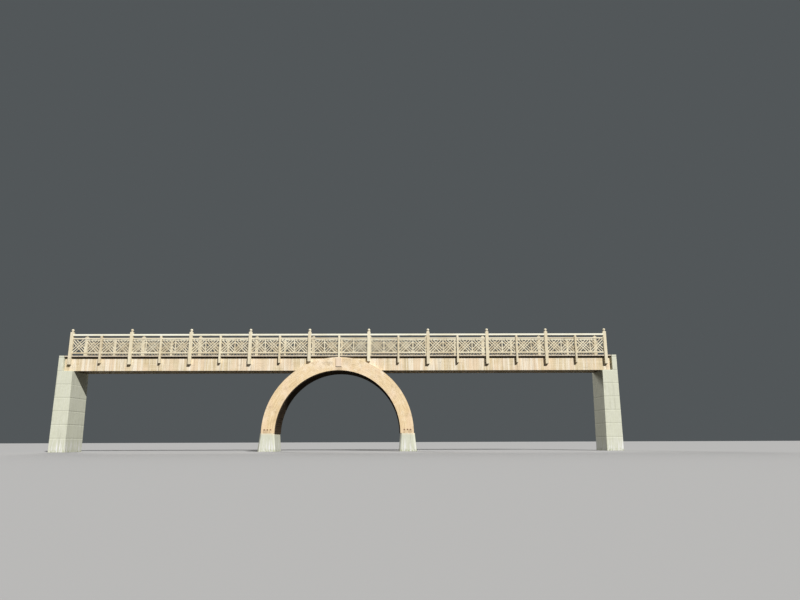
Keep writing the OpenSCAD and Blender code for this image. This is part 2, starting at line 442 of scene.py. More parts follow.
@dataclass(frozen=True, kw_only=True)
class Timber(Finish):
    """Weathered timber whose grain follows each board."""

    pale: Colour
    dark: Colour
    grey: Colour
    # Colour of faces that look down: painted shade
    underside: Colour
    greying: float = 0.3
    contrast: float = 0.45
    tone_spread: float = 0.35
    ring_pitch: float = 0.006
    knot_size: float = 0.07
    bleached: Colour = (0.9, 0.86, 0.74)
    blush: Colour = (0.9, 0.75, 0.6)
    blushing: float = 0.0
    stain_share: float = 0.45
    glue: float = 0.0
    roughness: float = 0.72
    shine: float = 0.15
    relief: float = 0.0012

    def stains(self, paint: Paint, place: Place) -> Value | None:
        """Where darker stains show in the bridge; plain timber has none."""
        return None

    def bleaching(self, paint: Paint, place: Place) -> Value | None:
        """Where the sun has bleached the bridge; plain timber has no such place."""
        return None

    def blotches(self, paint: Paint, place: Place) -> Value:
        """Where the wood is redder."""
        return paint.noise(place, (1.9, 1.9, 0.9)).ramp(0.42, 0.62) * self.blushing

    def glue_lines(self, facing: Place) -> Value:
        """Where the bevels between glued layers show."""
        slope = abs(facing[1])
        return slope.ramp(0.4, 0.55) * slope.ramp(0.95, 0.85) * self.glue

    def figure(self, paint: Paint) -> Figure:
        """Rings, fibres, knots and drying cracks, along the board's own grain.

        Args:
            paint: Tree of the material.

        Returns:
            The pattern.
        """
        grain = paint.named("grain")
        middle, half, tone = paint.named("board")
        sway = paint.noise(grain, (0.9, 5.0, 5.0)) - 0.5
        knot = paint.dots(grain, (1.9, 6.5, 6.5))
        bend = sway * 0.05 + knot.ramp(0.34, 0.0) * 0.012
        centre = paint.combine(grain[1] + bend, grain[2] + bend, 0.0)
        radius = paint.vectors("LENGTH", centre, out="Value")
        ring = (radius * (1.0 / self.ring_pitch) + sway * 1.5) % 1.0
        near_end = (half - abs(middle)).ramp(0.25, 0.0)
        drying = paint.noise(grain, (1.6, 75.0, 75.0))
        return Figure(
            late=ring.ramp(0.25, 0.95) * ring.ramp(1.0, 0.93),
            fibre=paint.noise(grain, (9.0, 420.0, 420.0), 3.0),
            cloud=paint.noise(grain, (0.7, 9.0, 9.0), 3.0),
            heart=knot.ramp(self.knot_size, self.knot_size * 0.6),
            near_end=near_end,
            crack=(drying + near_end * 0.05).ramp(0.69, 0.75),
            tone=tone,
        )

    def sockets(self, paint: Paint) -> dict[str, Any]:
        """Mixes the board's colour and lays the weather's coats on it.

        Args:
            paint: Tree of the material.

        Returns:
            Inputs of the Principled shader, by name.
        """
        late, fibre, cloud, heart, near_end, crack, tone = self.figure(paint)
        place, facing = paint.place(), paint.facing()
        body = late * self.contrast + (fibre - 0.5) * 0.5 + (cloud - 0.5) * 0.9
        body = body + (tone - 0.5) * self.tone_spread + 0.22
        grime = paint.noise(place, (1.3, 1.3, 1.3), 4.0, 0.6).ramp(0.35, 0.72)
        greyed = grime * 0.7 + facing[2].ramp(0.2, 0.9) * 0.5 + near_end * 0.25
        coats = [
            (heart * 0.75, shade(self.dark, 0.34)),
            (greyed * self.greying, self.grey),
            (self.blotches(paint, place) if self.blushing else None, self.blush),
            (self.bleaching(paint, place), self.bleached),
            (self.stains(paint, place), shade(self.dark, self.stain_share)),
            (self.glue_lines(facing) if self.glue else None, shade(self.dark, 0.4)),
            (crack * 0.8, shade(self.dark, 0.22)),
            # Faces that look down turn to the underside colour: painted shade
            (facing[2].ramp(-0.3, -0.8) * 0.85, self.underside),
        ]
        height = fibre * 0.35 + late * 0.25 - crack * 1.4 + cloud * 0.3
        return {
            "Base Color": paint.coated(paint.mix(body, self.pale, self.dark), coats),
            "Roughness": (self.roughness + (fibre - 0.5) * 0.2 + crack * 0.15).least(1.0),
            "Specular IOR Level": self.shine,
            "Normal": paint.bump(height, self.relief),
        }


@dataclass(frozen=True, kw_only=True)
class ArchTimber(Timber):
    """Timber of the arch, stained round the crown cover and the bolts at its feet."""

    spring_z: float
    inner_r: float
    outer_r: float

    def stains(self, paint: Paint, place: Place) -> Value | None:
        """Soft dark patches, two by the crown cover, and rust below the foot bolts.

        Args:
            paint: Tree of the material.
            place: Place in the bridge.

        Returns:
            How much of the stain shows.
        """
        run = paint.noise(place, (14.0, 2.0, 1.6), 3.0)
        patch = paint.noise(place, (3.4, 1.5, 3.4), 3.0, 0.6)
        crown = self.spring_z + self.outer_r
        reach = abs(place[0])
        below = place[2].ramp(crown - 0.36, crown - 0.48) * reach.ramp(0.2, 0.08)
        rust = place[2].ramp(self.spring_z + 0.205, self.spring_z + 0.145)
        rust = rust * reach.ramp(self.inner_r + 0.075, self.inner_r + 0.155)
        rust = rust * reach.ramp(self.outer_r - 0.045, self.outer_r - 0.125)
        beside = place[0].ramp(0.06, 0.15) * place[0].ramp(0.66, 0.34)
        beside = beside * place[2].ramp(crown - 0.44, crown - 0.32)
        beside = beside * place[2].ramp(crown - 0.03, crown - 0.14)
        spots = (below * 0.45 + rust * 0.4) * run.ramp(0.3, 0.62)
        return spots + beside * (run * 0.3 + 0.06) + patch.ramp(0.52, 0.8) * 0.5

    def bleaching(self, paint: Paint, place: Place) -> Value | None:
        """Sun-bleached patches all over, more of them near the crown.

        Args:
            paint: Tree of the material.
            place: Place in the bridge.

        Returns:
            How bleached the wood is.
        """
        patch = paint.noise(place, (5.5, 2.0, 4.2), 3.0, 0.6)
        crown = self.spring_z + self.outer_r
        high = place[2].ramp(crown - 1.22, crown - 0.12)
        return patch.ramp(0.5, 0.72) * 0.5 + high * patch.ramp(0.3, 0.6) * 0.7


@dataclass(frozen=True, kw_only=True)
class GirderTimber(Timber):
    """Timber of the girders, washed by the rain that runs off the deck and the posts."""

    bay: float
    shadow_top: float

    def stains(self, paint: Paint, place: Place) -> Value | None:
        """Thin dark drips, more of them behind the posts, and a painted shadow below the deck's edge.

        Args:
            paint: Tree of the material.
            place: Place in the bridge.

        Returns:
            How much of the stain shows.
        """
        run = paint.noise(place, (13.0, 3.0, 0.45), 3.0, 0.65)
        thin = paint.noise(place, (42.0, 5.0, 0.8))
        offset = abs((place[0] + self.bay / 2) % self.bay - self.bay / 2)
        drips = (run * 0.55 + thin * 0.45).ramp(0.48, 0.66)
        # Dark band just below the deck's underside: painted shadow of the deck's overhang
        deck_shadow = (place[2] + run * 0.03).ramp(self.shadow_top - 0.07, self.shadow_top - 0.04)
        return (drips * (0.34 + offset.ramp(0.16, 0.02) * 0.24)).most(deck_shadow * 0.95)

    def bleaching(self, paint: Paint, place: Place) -> Value | None:
        """Pale upright streaks of all widths.

        Args:
            paint: Tree of the material.
            place: Place in the bridge.

        Returns:
            How bleached the wood is.
        """
        wide = paint.noise(place, (6.5, 2.0, 0.35), 3.0, 0.7)
        thin = paint.noise(place, (30.0, 4.0, 0.6))
        return (wide * 0.65 + thin * 0.35).ramp(0.46, 0.6) * 0.85


@dataclass(frozen=True, kw_only=True)
class RailTimber(Timber):
    """Timber of the railings, with painted shade on the faces towards the walkway."""

    inner_shade: float

    def stains(self, paint: Paint, place: Place) -> Value | None:
        """Painted shade, mottled, on the inner faces of both railings.

        Args:
            paint: Tree of the material.
            place: Place in the bridge.

        Returns:
            How much of the painted shade shows.
        """
        # Faces towards the walkway are darkened by a mottled share: painted shade
        inward = (paint.facing()[1] * place[1] * -1.0).ramp(0.15, 0.5)
        shade_mottle = paint.noise(place, (1.1, 1.1, 2.4), 3.0, 0.6)
        return inward * (shade_mottle - 0.5 + self.inner_shade)


@dataclass(frozen=True, kw_only=True)
class DeckTimber(Timber):
    """Timber of the deck, with painted shade along the lower arris of its planks."""

    low: float

    def stains(self, paint: Paint, place: Place) -> Value | None:
        """Painted shade along the lowest centimetre or so of the planks."""
        return place[2].ramp(self.low + 0.016, self.low + 0.01)


@dataclass(frozen=True, kw_only=True)
class Concrete(Finish):
    """Smooth cast concrete with pores, rain stains, pale salts near the ground and a green tinge."""

    pale: Colour
    dark: Colour
    salts: Colour
    moss: Colour
    cap: Colour
    cap_z: float
    cap_x: float = 4.0

    def sockets(self, paint: Paint) -> dict[str, Any]:
        """Mixes blotches and pores and lays streaks, salts and moss on them.

        Args:
            paint: Tree of the material.

        Returns:
            Inputs of the Principled shader, by name.
        """
        place, facing = paint.place(), paint.facing()
        height = place[2]
        cloud = paint.noise(place, (2.3, 2.3, 2.3), 5.0, 0.6)
        mottle = paint.noise(place, (13.0, 13.0, 9.0), 4.0, 0.6)
        grit = paint.noise(place, (130.0, 130.0, 130.0))
        run = paint.noise(place, (10.0, 10.0, 0.7), 4.0, 0.6)
        wash = paint.noise(place, (24.0, 24.0, 1.3), 3.0, 0.6)
        chance = paint.noise(place, (9.0, 9.0, 9.0), 1.0)
        pore = paint.dots(place, (42.0, 42.0, 42.0)).ramp(0.13, 0.06) * chance.ramp(0.53, 0.6)
        body = cloud * 0.5 + (mottle - 0.5) * 0.7 + (grit - 0.5) * 0.25 + 0.08
        rim = (height - self.cap_z).ramp(-0.1, -0.03) * abs(place[0]).ramp(self.cap_x + 0.4, self.cap_x)
        foot = height.ramp(0.16, 0.0) * mottle.ramp(0.4, 0.62) * 0.6
        ledge = facing[2].ramp(0.5, 0.95) * cloud.ramp(0.42, 0.65) * 0.55
        coats = [
            (run.ramp(0.54, 0.78) * 0.45, shade(self.dark, 0.62)),
            (wash.ramp(0.42, 0.64) * (height.ramp(0.7, 0.1) * 0.85 + 0.12), self.salts),
            (rim * mottle.ramp(0.3, 0.55) * 0.7, self.cap),
            (foot + ledge, self.moss),
            (pore * 0.75, shade(self.dark, 0.35)),
        ]
        return {
            "Base Color": paint.coated(paint.mix(body, self.pale, self.dark), coats),
            "Roughness": (0.86 + (grit - 0.5) * 0.15).least(1.0),
            "Specular IOR Level": 0.25,
            "Normal": paint.bump(mottle * 0.35 + grit * 0.3 + wash * 0.2 - pore * 1.5, 0.0015),
        }


@dataclass(frozen=True, kw_only=True)
class Steel(Finish):
    """Steel of bolts, screws and nails, with rust over worn zinc."""

    zinc: Colour
    rust: Colour
    rusting: float

    def sockets(self, paint: Paint) -> dict[str, Any]:
        """Mixes patches of rust over zinc.

        Args:
            paint: Tree of the material.

        Returns:
            Inputs of the Principled shader, by name.
        """
        place = paint.place()
        cloud = paint.noise(place, (60.0, 60.0, 60.0), 4.0, 0.6)
        rusted = (cloud + self.rusting - 0.5).ramp(0.42, 0.58)
        spots = paint.noise(place, (210.0, 210.0, 210.0))
        coats = [(spots.ramp(0.45, 0.75) * 0.5, shade(self.rust, 0.5))]
        return {
            "Base Color": paint.coated(paint.mix(rusted, self.zinc, self.rust), coats),
            "Metallic": 1.0 - rusted * 0.85,
            "Roughness": 0.45 + rusted * 0.4,
            "Normal": paint.bump(spots, 0.0006),
        }


@dataclass(frozen=True, kw_only=True)
class FloorFinish(Finish):
    """Dull floor, pale to the camera and darker in the light that it throws back; it has no slot."""

    name: str = "floor"
    slot: str = ""
    seen: Colour = (0.46, 0.465, 0.47)
    bounce: Colour = (0.12, 0.115, 0.105)

    def sockets(self, paint: Paint) -> dict[str, Any]:
        """Inputs of the Principled shader, by name."""
        colour = paint.mix(seen_directly(paint), self.bounce, self.seen)
        return {"Base Color": colour, "Roughness": 0.95, "Specular IOR Level": 0.0}


def seen_directly(paint: Paint) -> Value:
    """1 for rays from the camera and those that mirrors and glass send on."""
    path = paint.add("ShaderNodeLightPath")
    return path.out("Is Camera Ray").most(path.out("Is Glossy Ray")).most(path.out("Is Transmission Ray"))


@dataclass(frozen=True, kw_only=True)
class Palette:
    """Every finish of the bridge."""

    arch: Timber
    girder: Timber
    rail: Timber
    post: Timber
    handrail: Timber
    deck: Timber
    soffit: Timber
    cover: Timber
    concrete: Concrete
    bolts: Steel
    nails: Steel

    @classmethod
    def weathered(cls, lay: Layout) -> "Palette":
        """Finishes as the photograph shows them: golden arch, paler railings, dark underside.

        Args:
            lay: Layout of the bridge, for the weather that depends on the place.

        Returns:
            The finishes.
        """
        # Near-black for faces that look down: painted shade
        under = (0.034, 0.027, 0.020)
        cedar = {
            "slot": "rail_timber",
            "pale": (0.85, 0.785, 0.59), "dark": (0.58, 0.47, 0.30), "grey": (0.84, 0.81, 0.68),
            "underside": (0.16, 0.12, 0.08),
            "greying": 0.5, "contrast": 0.34, "tone_spread": 0.7, "stain_share": 0.38,
        }
        return cls(
            arch=ArchTimber(
                name="arch_laminated", slot="arch_timber",
                pale=(0.92, 0.74, 0.47), dark=(0.66, 0.47, 0.25), grey=(0.79, 0.70, 0.52),
                underside=under, bleached=(0.96, 0.83, 0.64), blush=(0.93, 0.72, 0.54),
                greying=0.3, contrast=0.28, tone_spread=0.34, blushing=0.4, glue=0.6,
                spring_z=lay.spring_z, inner_r=lay.inner_r, outer_r=lay.outer_r,
            ),
            girder=GirderTimber(
                name="girder_laminated", slot="girder_timber",
                pale=(0.85, 0.73, 0.51), dark=(0.56, 0.42, 0.22), grey=(0.72, 0.69, 0.51),
                underside=under, bleached=(0.95, 0.88, 0.74), blush=(0.93, 0.74, 0.56),
                greying=0.35, contrast=0.28, tone_spread=0.2, stain_share=0.25, blushing=0.5,
                glue=0.45, bay=lay.bay, shadow_top=lay.deck_under,
            ),
            # Rails, posts and handrails darken their inner faces by this share: painted shade
            rail=RailTimber(name="rail_cedar", inner_shade=0.8, **cedar),
            post=RailTimber(name="post_cedar", inner_shade=0.25, **cedar),
            handrail=RailTimber(
                name="handrail_cedar", slot="rail_timber",
                pale=(0.92, 0.92, 0.77), dark=(0.75, 0.70, 0.50), grey=(0.90, 0.92, 0.84),
                underside=(0.16, 0.12, 0.08),
                greying=0.7, contrast=0.25, tone_spread=0.25, inner_shade=0.3,
            ),
            deck=DeckTimber(
                name="deck_planks", slot="deck_timber",
                pale=(0.77, 0.67, 0.53), dark=(0.48, 0.38, 0.27), grey=(0.66, 0.61, 0.52),
                underside=under,
                greying=0.6, contrast=0.4, tone_spread=0.45, stain_share=0.15, low=lay.deck_under,
            ),
            # Soffit boards, struts and cross blocks: dark-stained boards, made near-black as painted
            # shade under the arch and deck
            soffit=Timber(
                name="soffit_boards", slot="soffit_timber",
                pale=(0.075, 0.056, 0.040), dark=(0.030, 0.022, 0.016), grey=(0.070, 0.060, 0.048),
                underside=(0.055, 0.042, 0.031), tone_spread=0.6, shine=0.0,
            ),
            cover=Timber(
                name="cover_board", slot="cover_timber",
                pale=(0.92, 0.79, 0.63), dark=(0.70, 0.53, 0.38), grey=(0.82, 0.75, 0.64),
                underside=under, contrast=0.25,
            ),
            concrete=Concrete(
                name="cast_concrete", slot="concrete",
                pale=(0.73, 0.75, 0.62), dark=(0.48, 0.49, 0.38), salts=(0.85, 0.86, 0.87),
                moss=(0.30, 0.34, 0.16), cap=(0.82, 0.72, 0.54), cap_z=lay.spring_z,
            ),
            bolts=Steel(
                name="bolt_steel", slot="arch_timber",
                zinc=(0.42, 0.40, 0.37), rust=(0.24, 0.10, 0.045), rusting=0.62,
            ),
            nails=Steel(
                name="nail_steel", slot="rail_timber",
                zinc=(0.40, 0.39, 0.37), rust=(0.20, 0.11, 0.06), rusting=0.5,
            ),
        )


# Meshes


def corners(outline: Outline) -> Iterator[tuple[Vector, Vector, Vector]]:
    """Each corner of an outline, between the one before it and the one after it."""
    points = [Vector(corner) for corner in outline]
    return zip(points[-1:] + points[:-1], points, points[1:] + points[:1])


def clip_corners(outline: Outline, cut: float) -> Outline:
    """Cuts every corner of an outline.

    Args:
        outline: Corners in order.
        cut: Length that is cut off each edge.

    Returns:
        The outline with two points for each corner.
    """
    clipped: Outline = []
    for before, here, after in corners(outline):
        for edge in (before - here, after - here):
            length = min(cut, edge.length * CUT_SHARE)
            clipped.append(tuple(here + edge.normalized() * length))
    return clipped


def inset(outline: Outline, distance: float) -> Outline:
    """Moves every edge of an anticlockwise outline inwards.

    Args:
        outline: Corners in order.
        distance: How far the edges move.

    Returns:
        The smaller outline.
    """
    moved: Outline = []
    for before, here, after in corners(outline):
        coming = (here - before).normalized()
        going = (after - here).normalized()
        normal = Vector((-coming.y - going.y, coming.x + going.x))
        scale = distance * 2 / max(normal.length_squared, LEAST_NORMAL)
        moved.append(tuple(here + normal * scale))
    return moved


def rectangle(low: Sequence[float], high: Sequence[float]) -> Outline:
    """Anticlockwise outline of a rectangle."""
    return [(low[0], low[1]), (high[0], low[1]), (high[0], high[1]), (low[0], high[1])]


def clip_to_rectangle(outline: Outline, width: float, height: float) -> Outline:
    """Cuts a convex outline to the rectangle from 0, 0 to width, height.

    Args:
        outline: Corners in order.
        width: Width of the rectangle.
        height: Height of the rectangle.

    Returns:
        The part of the outline inside the rectangle.
    """
    for axis, sign, limit in ((0, 1, 0.0), (0, -1, width), (1, 1, 0.0), (1, -1, height)):
        kept: Outline = []
        for index, corner in enumerate(outline):
            last = outline[index - 1]
            inside = sign * (corner[axis] - limit) >= 0
            was_inside = sign * (last[axis] - limit) >= 0
            if inside != was_inside:
                part = (limit - last[axis]) / (corner[axis] - last[axis])
                kept.append(tuple(Vector(last).lerp(Vector(corner), part)))
            if inside:
                kept.append(corner)
        outline = kept
    return outline


def arc_points(centre: Sequence[float], radius: float, angles: Sequence[float], steps: int) -> Outline:
    """Points of an arc, in equal steps from its first angle to its last."""
    turns = [angles[0] + (angles[1] - angles[0]) * i / steps for i in range(steps + 1)]
    return [(centre[0] + radius * math.cos(a), centre[1] + radius * math.sin(a)) for a in turns]


def frame_matrix(rows: Sequence[Sequence[float]], origin: Sequence[float]) -> Matrix:
    """Matrix that takes length, width and thickness to three directions from an origin."""
    turned = Matrix([list(row) for row in rows]).transposed().to_4x4()
    return Matrix.Translation(Vector(origin)) @ turned


def across(x: float, z: float) -> Matrix:
    """Place of a board that lies across the bridge, with its underside at a height."""
    return frame_matrix(((0, 1, 0), (-1, 0, 0), (0, 0, 1)), (x, 0, z))


@dataclass
class Woodwork:
    """Boards, beams and turned pieces gathered into one mesh.

    Each piece has its own grain and tone: the attribute grain holds the place in the board, and
    the attribute board holds the distance from its middle, its half length and its tone.
    """

    seed: int
    sharp: float = math.radians(32)
    points: list[Vector] = field(default_factory=list)
    faces: list[tuple[int, ...]] = field(default_factory=list)
    grain: list[Vector] = field(default_factory=list)
    board: list[tuple[float, float, float]] = field(default_factory=list)
    part: list[int] = field(default_factory=list)
    parts: int = 0

    def __post_init__(self) -> None:
        """Starts the random draws."""
        self.rng = random.Random(self.seed)

    def _add(self, rings: list[Ring], low: float, high: float) -> None:
        """Adds one piece: rings of vertices that are joined, with both ends closed.

        Args:
            rings: For each vertex of each ring, its place in the board and in the bridge.
            low: Where the board starts along its grain.
            high: Where it stops.
        """
        shift = Vector([self.rng.uniform(*span) for span in GRAIN_SHIFT])
        tone = self.rng.random()
        first, count = len(self.points), len(rings[0])
        for local, world in (pair for ring in rings for pair in ring):
            self.points.append(world)
            self.grain.append(local + shift)
            self.board.append((local.x - (low + high) / 2, (high - low) / 2, tone))
            self.part.append(self.parts)
        self.parts += 1
        last = len(self.points) - count
        self.faces.append(tuple(range(first + count - 1, first - 1, -1)))
        for start in range(first, last, count):
            for i in range(count):
                j = (i + 1) % count
                self.faces.append((start + i, start + j, start + count + j, start + count + i))
        self.faces.append(tuple(range(last, last + count)))

    def prism(self, outline: Outline, thickness: float, bevel: float, place: Matrix) -> None:
        """Adds a board: an outline of length and width, given a thickness and bevelled edges.

        Args:
            outline: Anticlockwise corners, length first.
            thickness: Thickness, upwards from the outline.
            bevel: Bevel of the edges round both faces and of the corners.
            place: Matrix from length, width and thickness to the bridge.
        """
        outline = clip_corners(outline, bevel)
        small = inset(outline, bevel)
        levels = ((small, 0.0), (outline, bevel), (outline, thickness - bevel), (small, thickness))
        rings = []
        for ring, level in levels:
            board = [Vector((u, v, level)) for u, v in ring]
            rings.append([(local, place @ local) for local in board])
        lengths = [u for u, _ in outline]
        self._add(rings, min(lengths), max(lengths))

    def beam(self, low: Sequence[float], high: Sequence[float], grain: Grain, bevel: float) -> None:
        """Adds a straight timber between two corners of its box.

        Args:
            low: Lowest corner.
            high: Highest corner.
            grain: Direction of its length.
            bevel: Bevel of its edges.
        """
        size = Vector(high) - Vector(low)
        u, v, w = (abs(Vector(row).dot(size)) for row in grain.value)
        self.prism(rectangle((0, 0), (u, v)), w, bevel, frame_matrix(grain.value, low))

    def arc(
        self,
        radii: Sequence[float],
        angles: Sequence[float],
        ys: Sequence[float],
        centre_z: float,
        bevel: float,
        step: float,
    ) -> None:
        """Adds a board that is bent along the arch.

        Args:
            radii: Inner and outer radius.
            angles: First and last angle, up from the right-hand springing.
            ys: Lowest and highest Y.
            centre_z: Height of the arch's centre.
            bevel: Bevel of its edges.
            step: Largest angle between two cross-sections.
        """
        section = clip_corners(rectangle((radii[0], ys[0]), (radii[1], ys[1])), bevel)
        small = inset(section, bevel)
        start, stop = angles
        middle_r = (radii[0] + radii[1]) / 2
        turn = bevel / middle_r
        count = max(2, math.ceil((stop - start) / step))
        inner = [start + turn + (stop - start - 2 * turn) * i / count for i in range(count + 1)]
        sections = [(small, start), *((section, angle) for angle in inner), (small, stop)]
        rings = []
        for outline, angle in sections:
            out, up = math.cos(angle), math.sin(angle)
            rings.append([
                (Vector((middle_r * angle, y, r - radii[0])), Vector((r * out, y, centre_z + r * up)))
                for r, y in outline
            ])
        self._add(rings, middle_r * start, middle_r * stop)

    def swept(self, section: Outline, start: float, stop: float, corner: Vector, bevel: float) -> None:
        """Adds a timber along X that keeps one cross-section.

        Args:
            section: Anticlockwise outline of Y and Z.
            start: Where it starts.
            stop: Where it stops.
            corner: Place of the section's origin.
            bevel: Bevel of its two ends.
        """
        small = inset(section, bevel)
        ends = ((small, start), (section, start + bevel), (section, stop - bevel), (small, stop))
        rings = [
            [(Vector((x - start, y, z)), corner + Vector((x, y, z))) for y, z in outline]
            for outline, x in ends
        ]
        self._add(rings, 0.0, stop - start)

    def turned(self, profile: Outline, steps: int, place: Matrix) -> None:
        """Adds a piece turned on a lathe.

        Args:
            profile: Radius and height of each ring, from the bottom up.
            steps: Sides of each ring.
            place: Matrix from the lathe to the bridge; the lathe's axis is Z.
        """
        turns = [math.tau * i / steps for i in range(steps)]
        rings = []
        for radius, height in profile:
            circle = [(radius * math.cos(angle), radius * math.sin(angle)) for angle in turns]
            rings.append([(Vector((height, u, v)), place @ Vector((u, v, height))) for u, v in circle])
        self._add(rings, profile[0][1], profile[-1][1])

    def mesh(self) -> bpy.types.Mesh:
        """Makes the mesh, with outward faces, smooth curves and sharp edges.

        Returns:
            The new mesh.
        """
        mesh = bpy.data.meshes.new("work")
        mesh.from_pydata([tuple(p) for p in self.points], [], self.faces)
        work = bmesh.new()
        work.from_mesh(mesh)
        finish_mesh(work, mesh, self.sharp)
        for title, rows in (("grain", self.grain), ("board", self.board)):
            layer = mesh.attributes.new(title, "FLOAT_VECTOR", "POINT")
            layer.data.foreach_set("vector", [c for row in rows for c in row])
        numbers = mesh.attributes.new("part", "INT", "POINT")
        numbers.data.foreach_set("value", self.part)
        return mesh


def finish_mesh(work: bmesh.types.BMesh, mesh: bpy.types.Mesh, sharp: float) -> None:
    """Writes edited geometry to a mesh, with outward faces, smooth but for its sharp edges.

    Args:
        work: Edited geometry, freed afterwards.
        mesh: Mesh that gets it.
        sharp: Angle from which an edge is sharp.
    """
    bmesh.ops.recalc_face_normals(work, faces=work.faces)
    work.to_mesh(mesh)
    work.free()
    mesh.shade_smooth()
    mesh.set_sharp_from_angle(angle=sharp)


def put(name: str, data: bpy.types.ID) -> bpy.types.Object:
    """Adds an object to the scene.

    Args:
        name: Name of the object.
        data: Its mesh, lamp or camera.

    Returns:
        The new object.
    """
    thing = bpy.data.objects.new(name, data)
    bpy.context.scene.collection.objects.link(thing)
    return thing


def add_piece(
    name: str,
    mesh: bpy.types.Mesh,
    finish: Finish,
    nodes: Iterable[str] = (),
) -> None:
    """Puts a finished mesh into the scene as a piece of the bridge.

    Args:
        name: Name of the piece.
        mesh: Its mesh, already in place.
        finish: Its finish.
        nodes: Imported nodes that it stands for.
    """
    mesh.name = name
    mesh.materials.clear()
    mesh.materials.append(finish.material())
    piece = put(name, mesh)
    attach(piece, "root")
    if nodes:
        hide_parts(*nodes)
    LOG.info("%s: %d faces", name, len(mesh.polygons))


# Repeats


class Repeater:
    """Geometry Nodes tree that repeats a base mesh, with named inputs.

    Every copy gets its own grain and tone, from its number and the part's number in the base.
    """

    INPUTS: dict[str, str] = {}

    def __init__(self) -> None:
        """Builds the tree: points, copies on them, real geometry and its material."""
        self.tree = bpy.data.node_groups.new(type(self).__name__, "GeometryNodeTree")
        self.graph = Graph(self.tree)
        face = self.tree.interface
        face.new_socket("Geometry", in_out="INPUT", socket_type="NodeSocketGeometry")
        kinds = {**self.INPUTS, "Seed": "NodeSocketInt", "Material": "NodeSocketMaterial"}
        self.keys = {
            title: face.new_socket(title, in_out="INPUT", socket_type=kind).identifier
            for title, kind in kinds.items()
        }
        face.new_socket("Geometry", in_out="OUTPUT", socket_type="NodeSocketGeometry")
        given = self.graph.add("NodeGroupInput")
        points, turn = self.places(given)
        sockets = {"Points": points, "Instance": given.out("Geometry"), "Rotation": turn}
        copies = self.graph.add("GeometryNodeInstanceOnPoints", None, sockets).out()
        sockets = {"Geometry": self.vary(copies, given.out("Seed")), "Material": given.out("Material")}
        dressed = self.graph.add("GeometryNodeSetMaterial", None, sockets).out()
        self.graph.add("NodeGroupOutput", None, {0: dressed})

    def places(self, given: Node) -> tuple[Value, Value]:
        """Points of the copies and their rotation."""
        raise NotImplementedError

    def points(self, count: Value, place: Value, angles: Value) -> tuple[Value, Value]:
        """Points at a place that depends on their number, and the rotation of their copies."""
        points = self.graph.add("GeometryNodePoints", None, {"Count": count, "Position": place}).out()
        return points, self.graph.add("FunctionNodeEulerToRotation", None, {0: angles}).out()

    def store(self, shape: Value, name: str, kind: str, domain: str, value: Value) -> Value:
        """Stores an attribute.

        Args:
            shape: Geometry that gets it.
            name: Its name.
            kind: Type of its values.
            domain: What has one value each.
            value: Its values.

        Returns:
            The geometry with the attribute.
        """
        settings = {"data_type": kind, "domain": domain}
        sockets = {"Geometry": shape, "Name": name, "Value": value}
        return self.graph.add("GeometryNodeStoreNamedAttribute", settings, sockets).out()

    def read(self, name: str, kind: str) -> Value:
        """Reads an attribute."""
        settings = {"data_type": kind}
        return self.graph.add("GeometryNodeInputNamedAttribute", settings, {"Name": name}).out()

    def draw(self, low: Sequence[float], high: Sequence[float], number: Value, seed: Value) -> Value:
        """Random vector between two others, for each number."""
        sockets = {0: low, 1: high, "ID": number, "Seed": seed}
        return self.graph.add("FunctionNodeRandomValue", {"data_type": "FLOAT_VECTOR"}, sockets).out(0)

    def vary(self, copies: Value, seed: Value) -> Value:
        """Makes the copies real and gives each part its own grain and tone.

        Args:
            copies: Instances.
            seed: Fixed seed.

        Returns:
            Real geometry.
        """
        graph = self.graph
        index = graph.add("GeometryNodeInputIndex").out()
        numbered = self.store(copies, "copy", "INT", "INSTANCE", index)
        real = graph.add("GeometryNodeRealizeInstances", None, {0: numbered}).out()
        number = self.read("copy", "INT") * PARTS_A_COPY + self.read("part", "INT")
        shift = self.draw(*COPY_SHIFT, number, seed)
        sockets = {"ID": number, "Seed": seed + 1.0}
        tone = graph.add("FunctionNodeRandomValue", {"data_type": "FLOAT"}, sockets).out(1)
        moved = graph.vectors("ADD", self.read("grain", "FLOAT_VECTOR"), shift)
        middle, half, _ = graph.split(self.read("board", "FLOAT_VECTOR"))
        toned = graph.combine(middle, half, tone)
        real = self.store(real, "grain", "FLOAT_VECTOR", "POINT", moved)
        return self.store(real, "board", "FLOAT_VECTOR", "POINT", toned)

    def bake(self, base: bpy.types.Mesh, finish: Finish, seed: int, **sizes: Any) -> bpy.types.Mesh:
        """Runs the tree on a base mesh and returns the result as a plain mesh.

        Args:
            base: Mesh to repeat.
            finish: Finish of the result.
            seed: Fixed seed.
            **sizes: Values of the tree's inputs, with _ for the spaces in their names.

        Returns:
            The baked mesh.
        """
        carrier = put("carrier", base)
        modifier = carrier.modifiers.new("repeat", "NODES")
        modifier.node_group = self.tree
        modifier[self.keys["Seed"]] = seed
        modifier[self.keys["Material"]] = finish.material()
        for title, value in sizes.items():
            modifier[self.keys[title.replace("_", " ")]] = value
        bpy.context.view_layer.update()
        graph = bpy.context.evaluated_depsgraph_get()
        baked = bpy.data.meshes.new_from_object(
            carrier.evaluated_get(graph), preserve_all_data_layers=True, depsgraph=graph
        )
        carrier.modifiers.remove(modifier)
        bpy.data.objects.remove(carrier)
        return baked

    def add_copies(
        self,
        name: str,
        base: Woodwork,
        finish: Finish,
        seed: int,
        nodes: Iterable[str] = (),
        slot: str | None = None,
        **sizes: Any,
    ) -> None:
        """Bakes copies of a piece of work and adds them as one piece of the bridge."""
        add_piece(name, self.bake(base.mesh(), finish, seed, **sizes), finish, nodes)


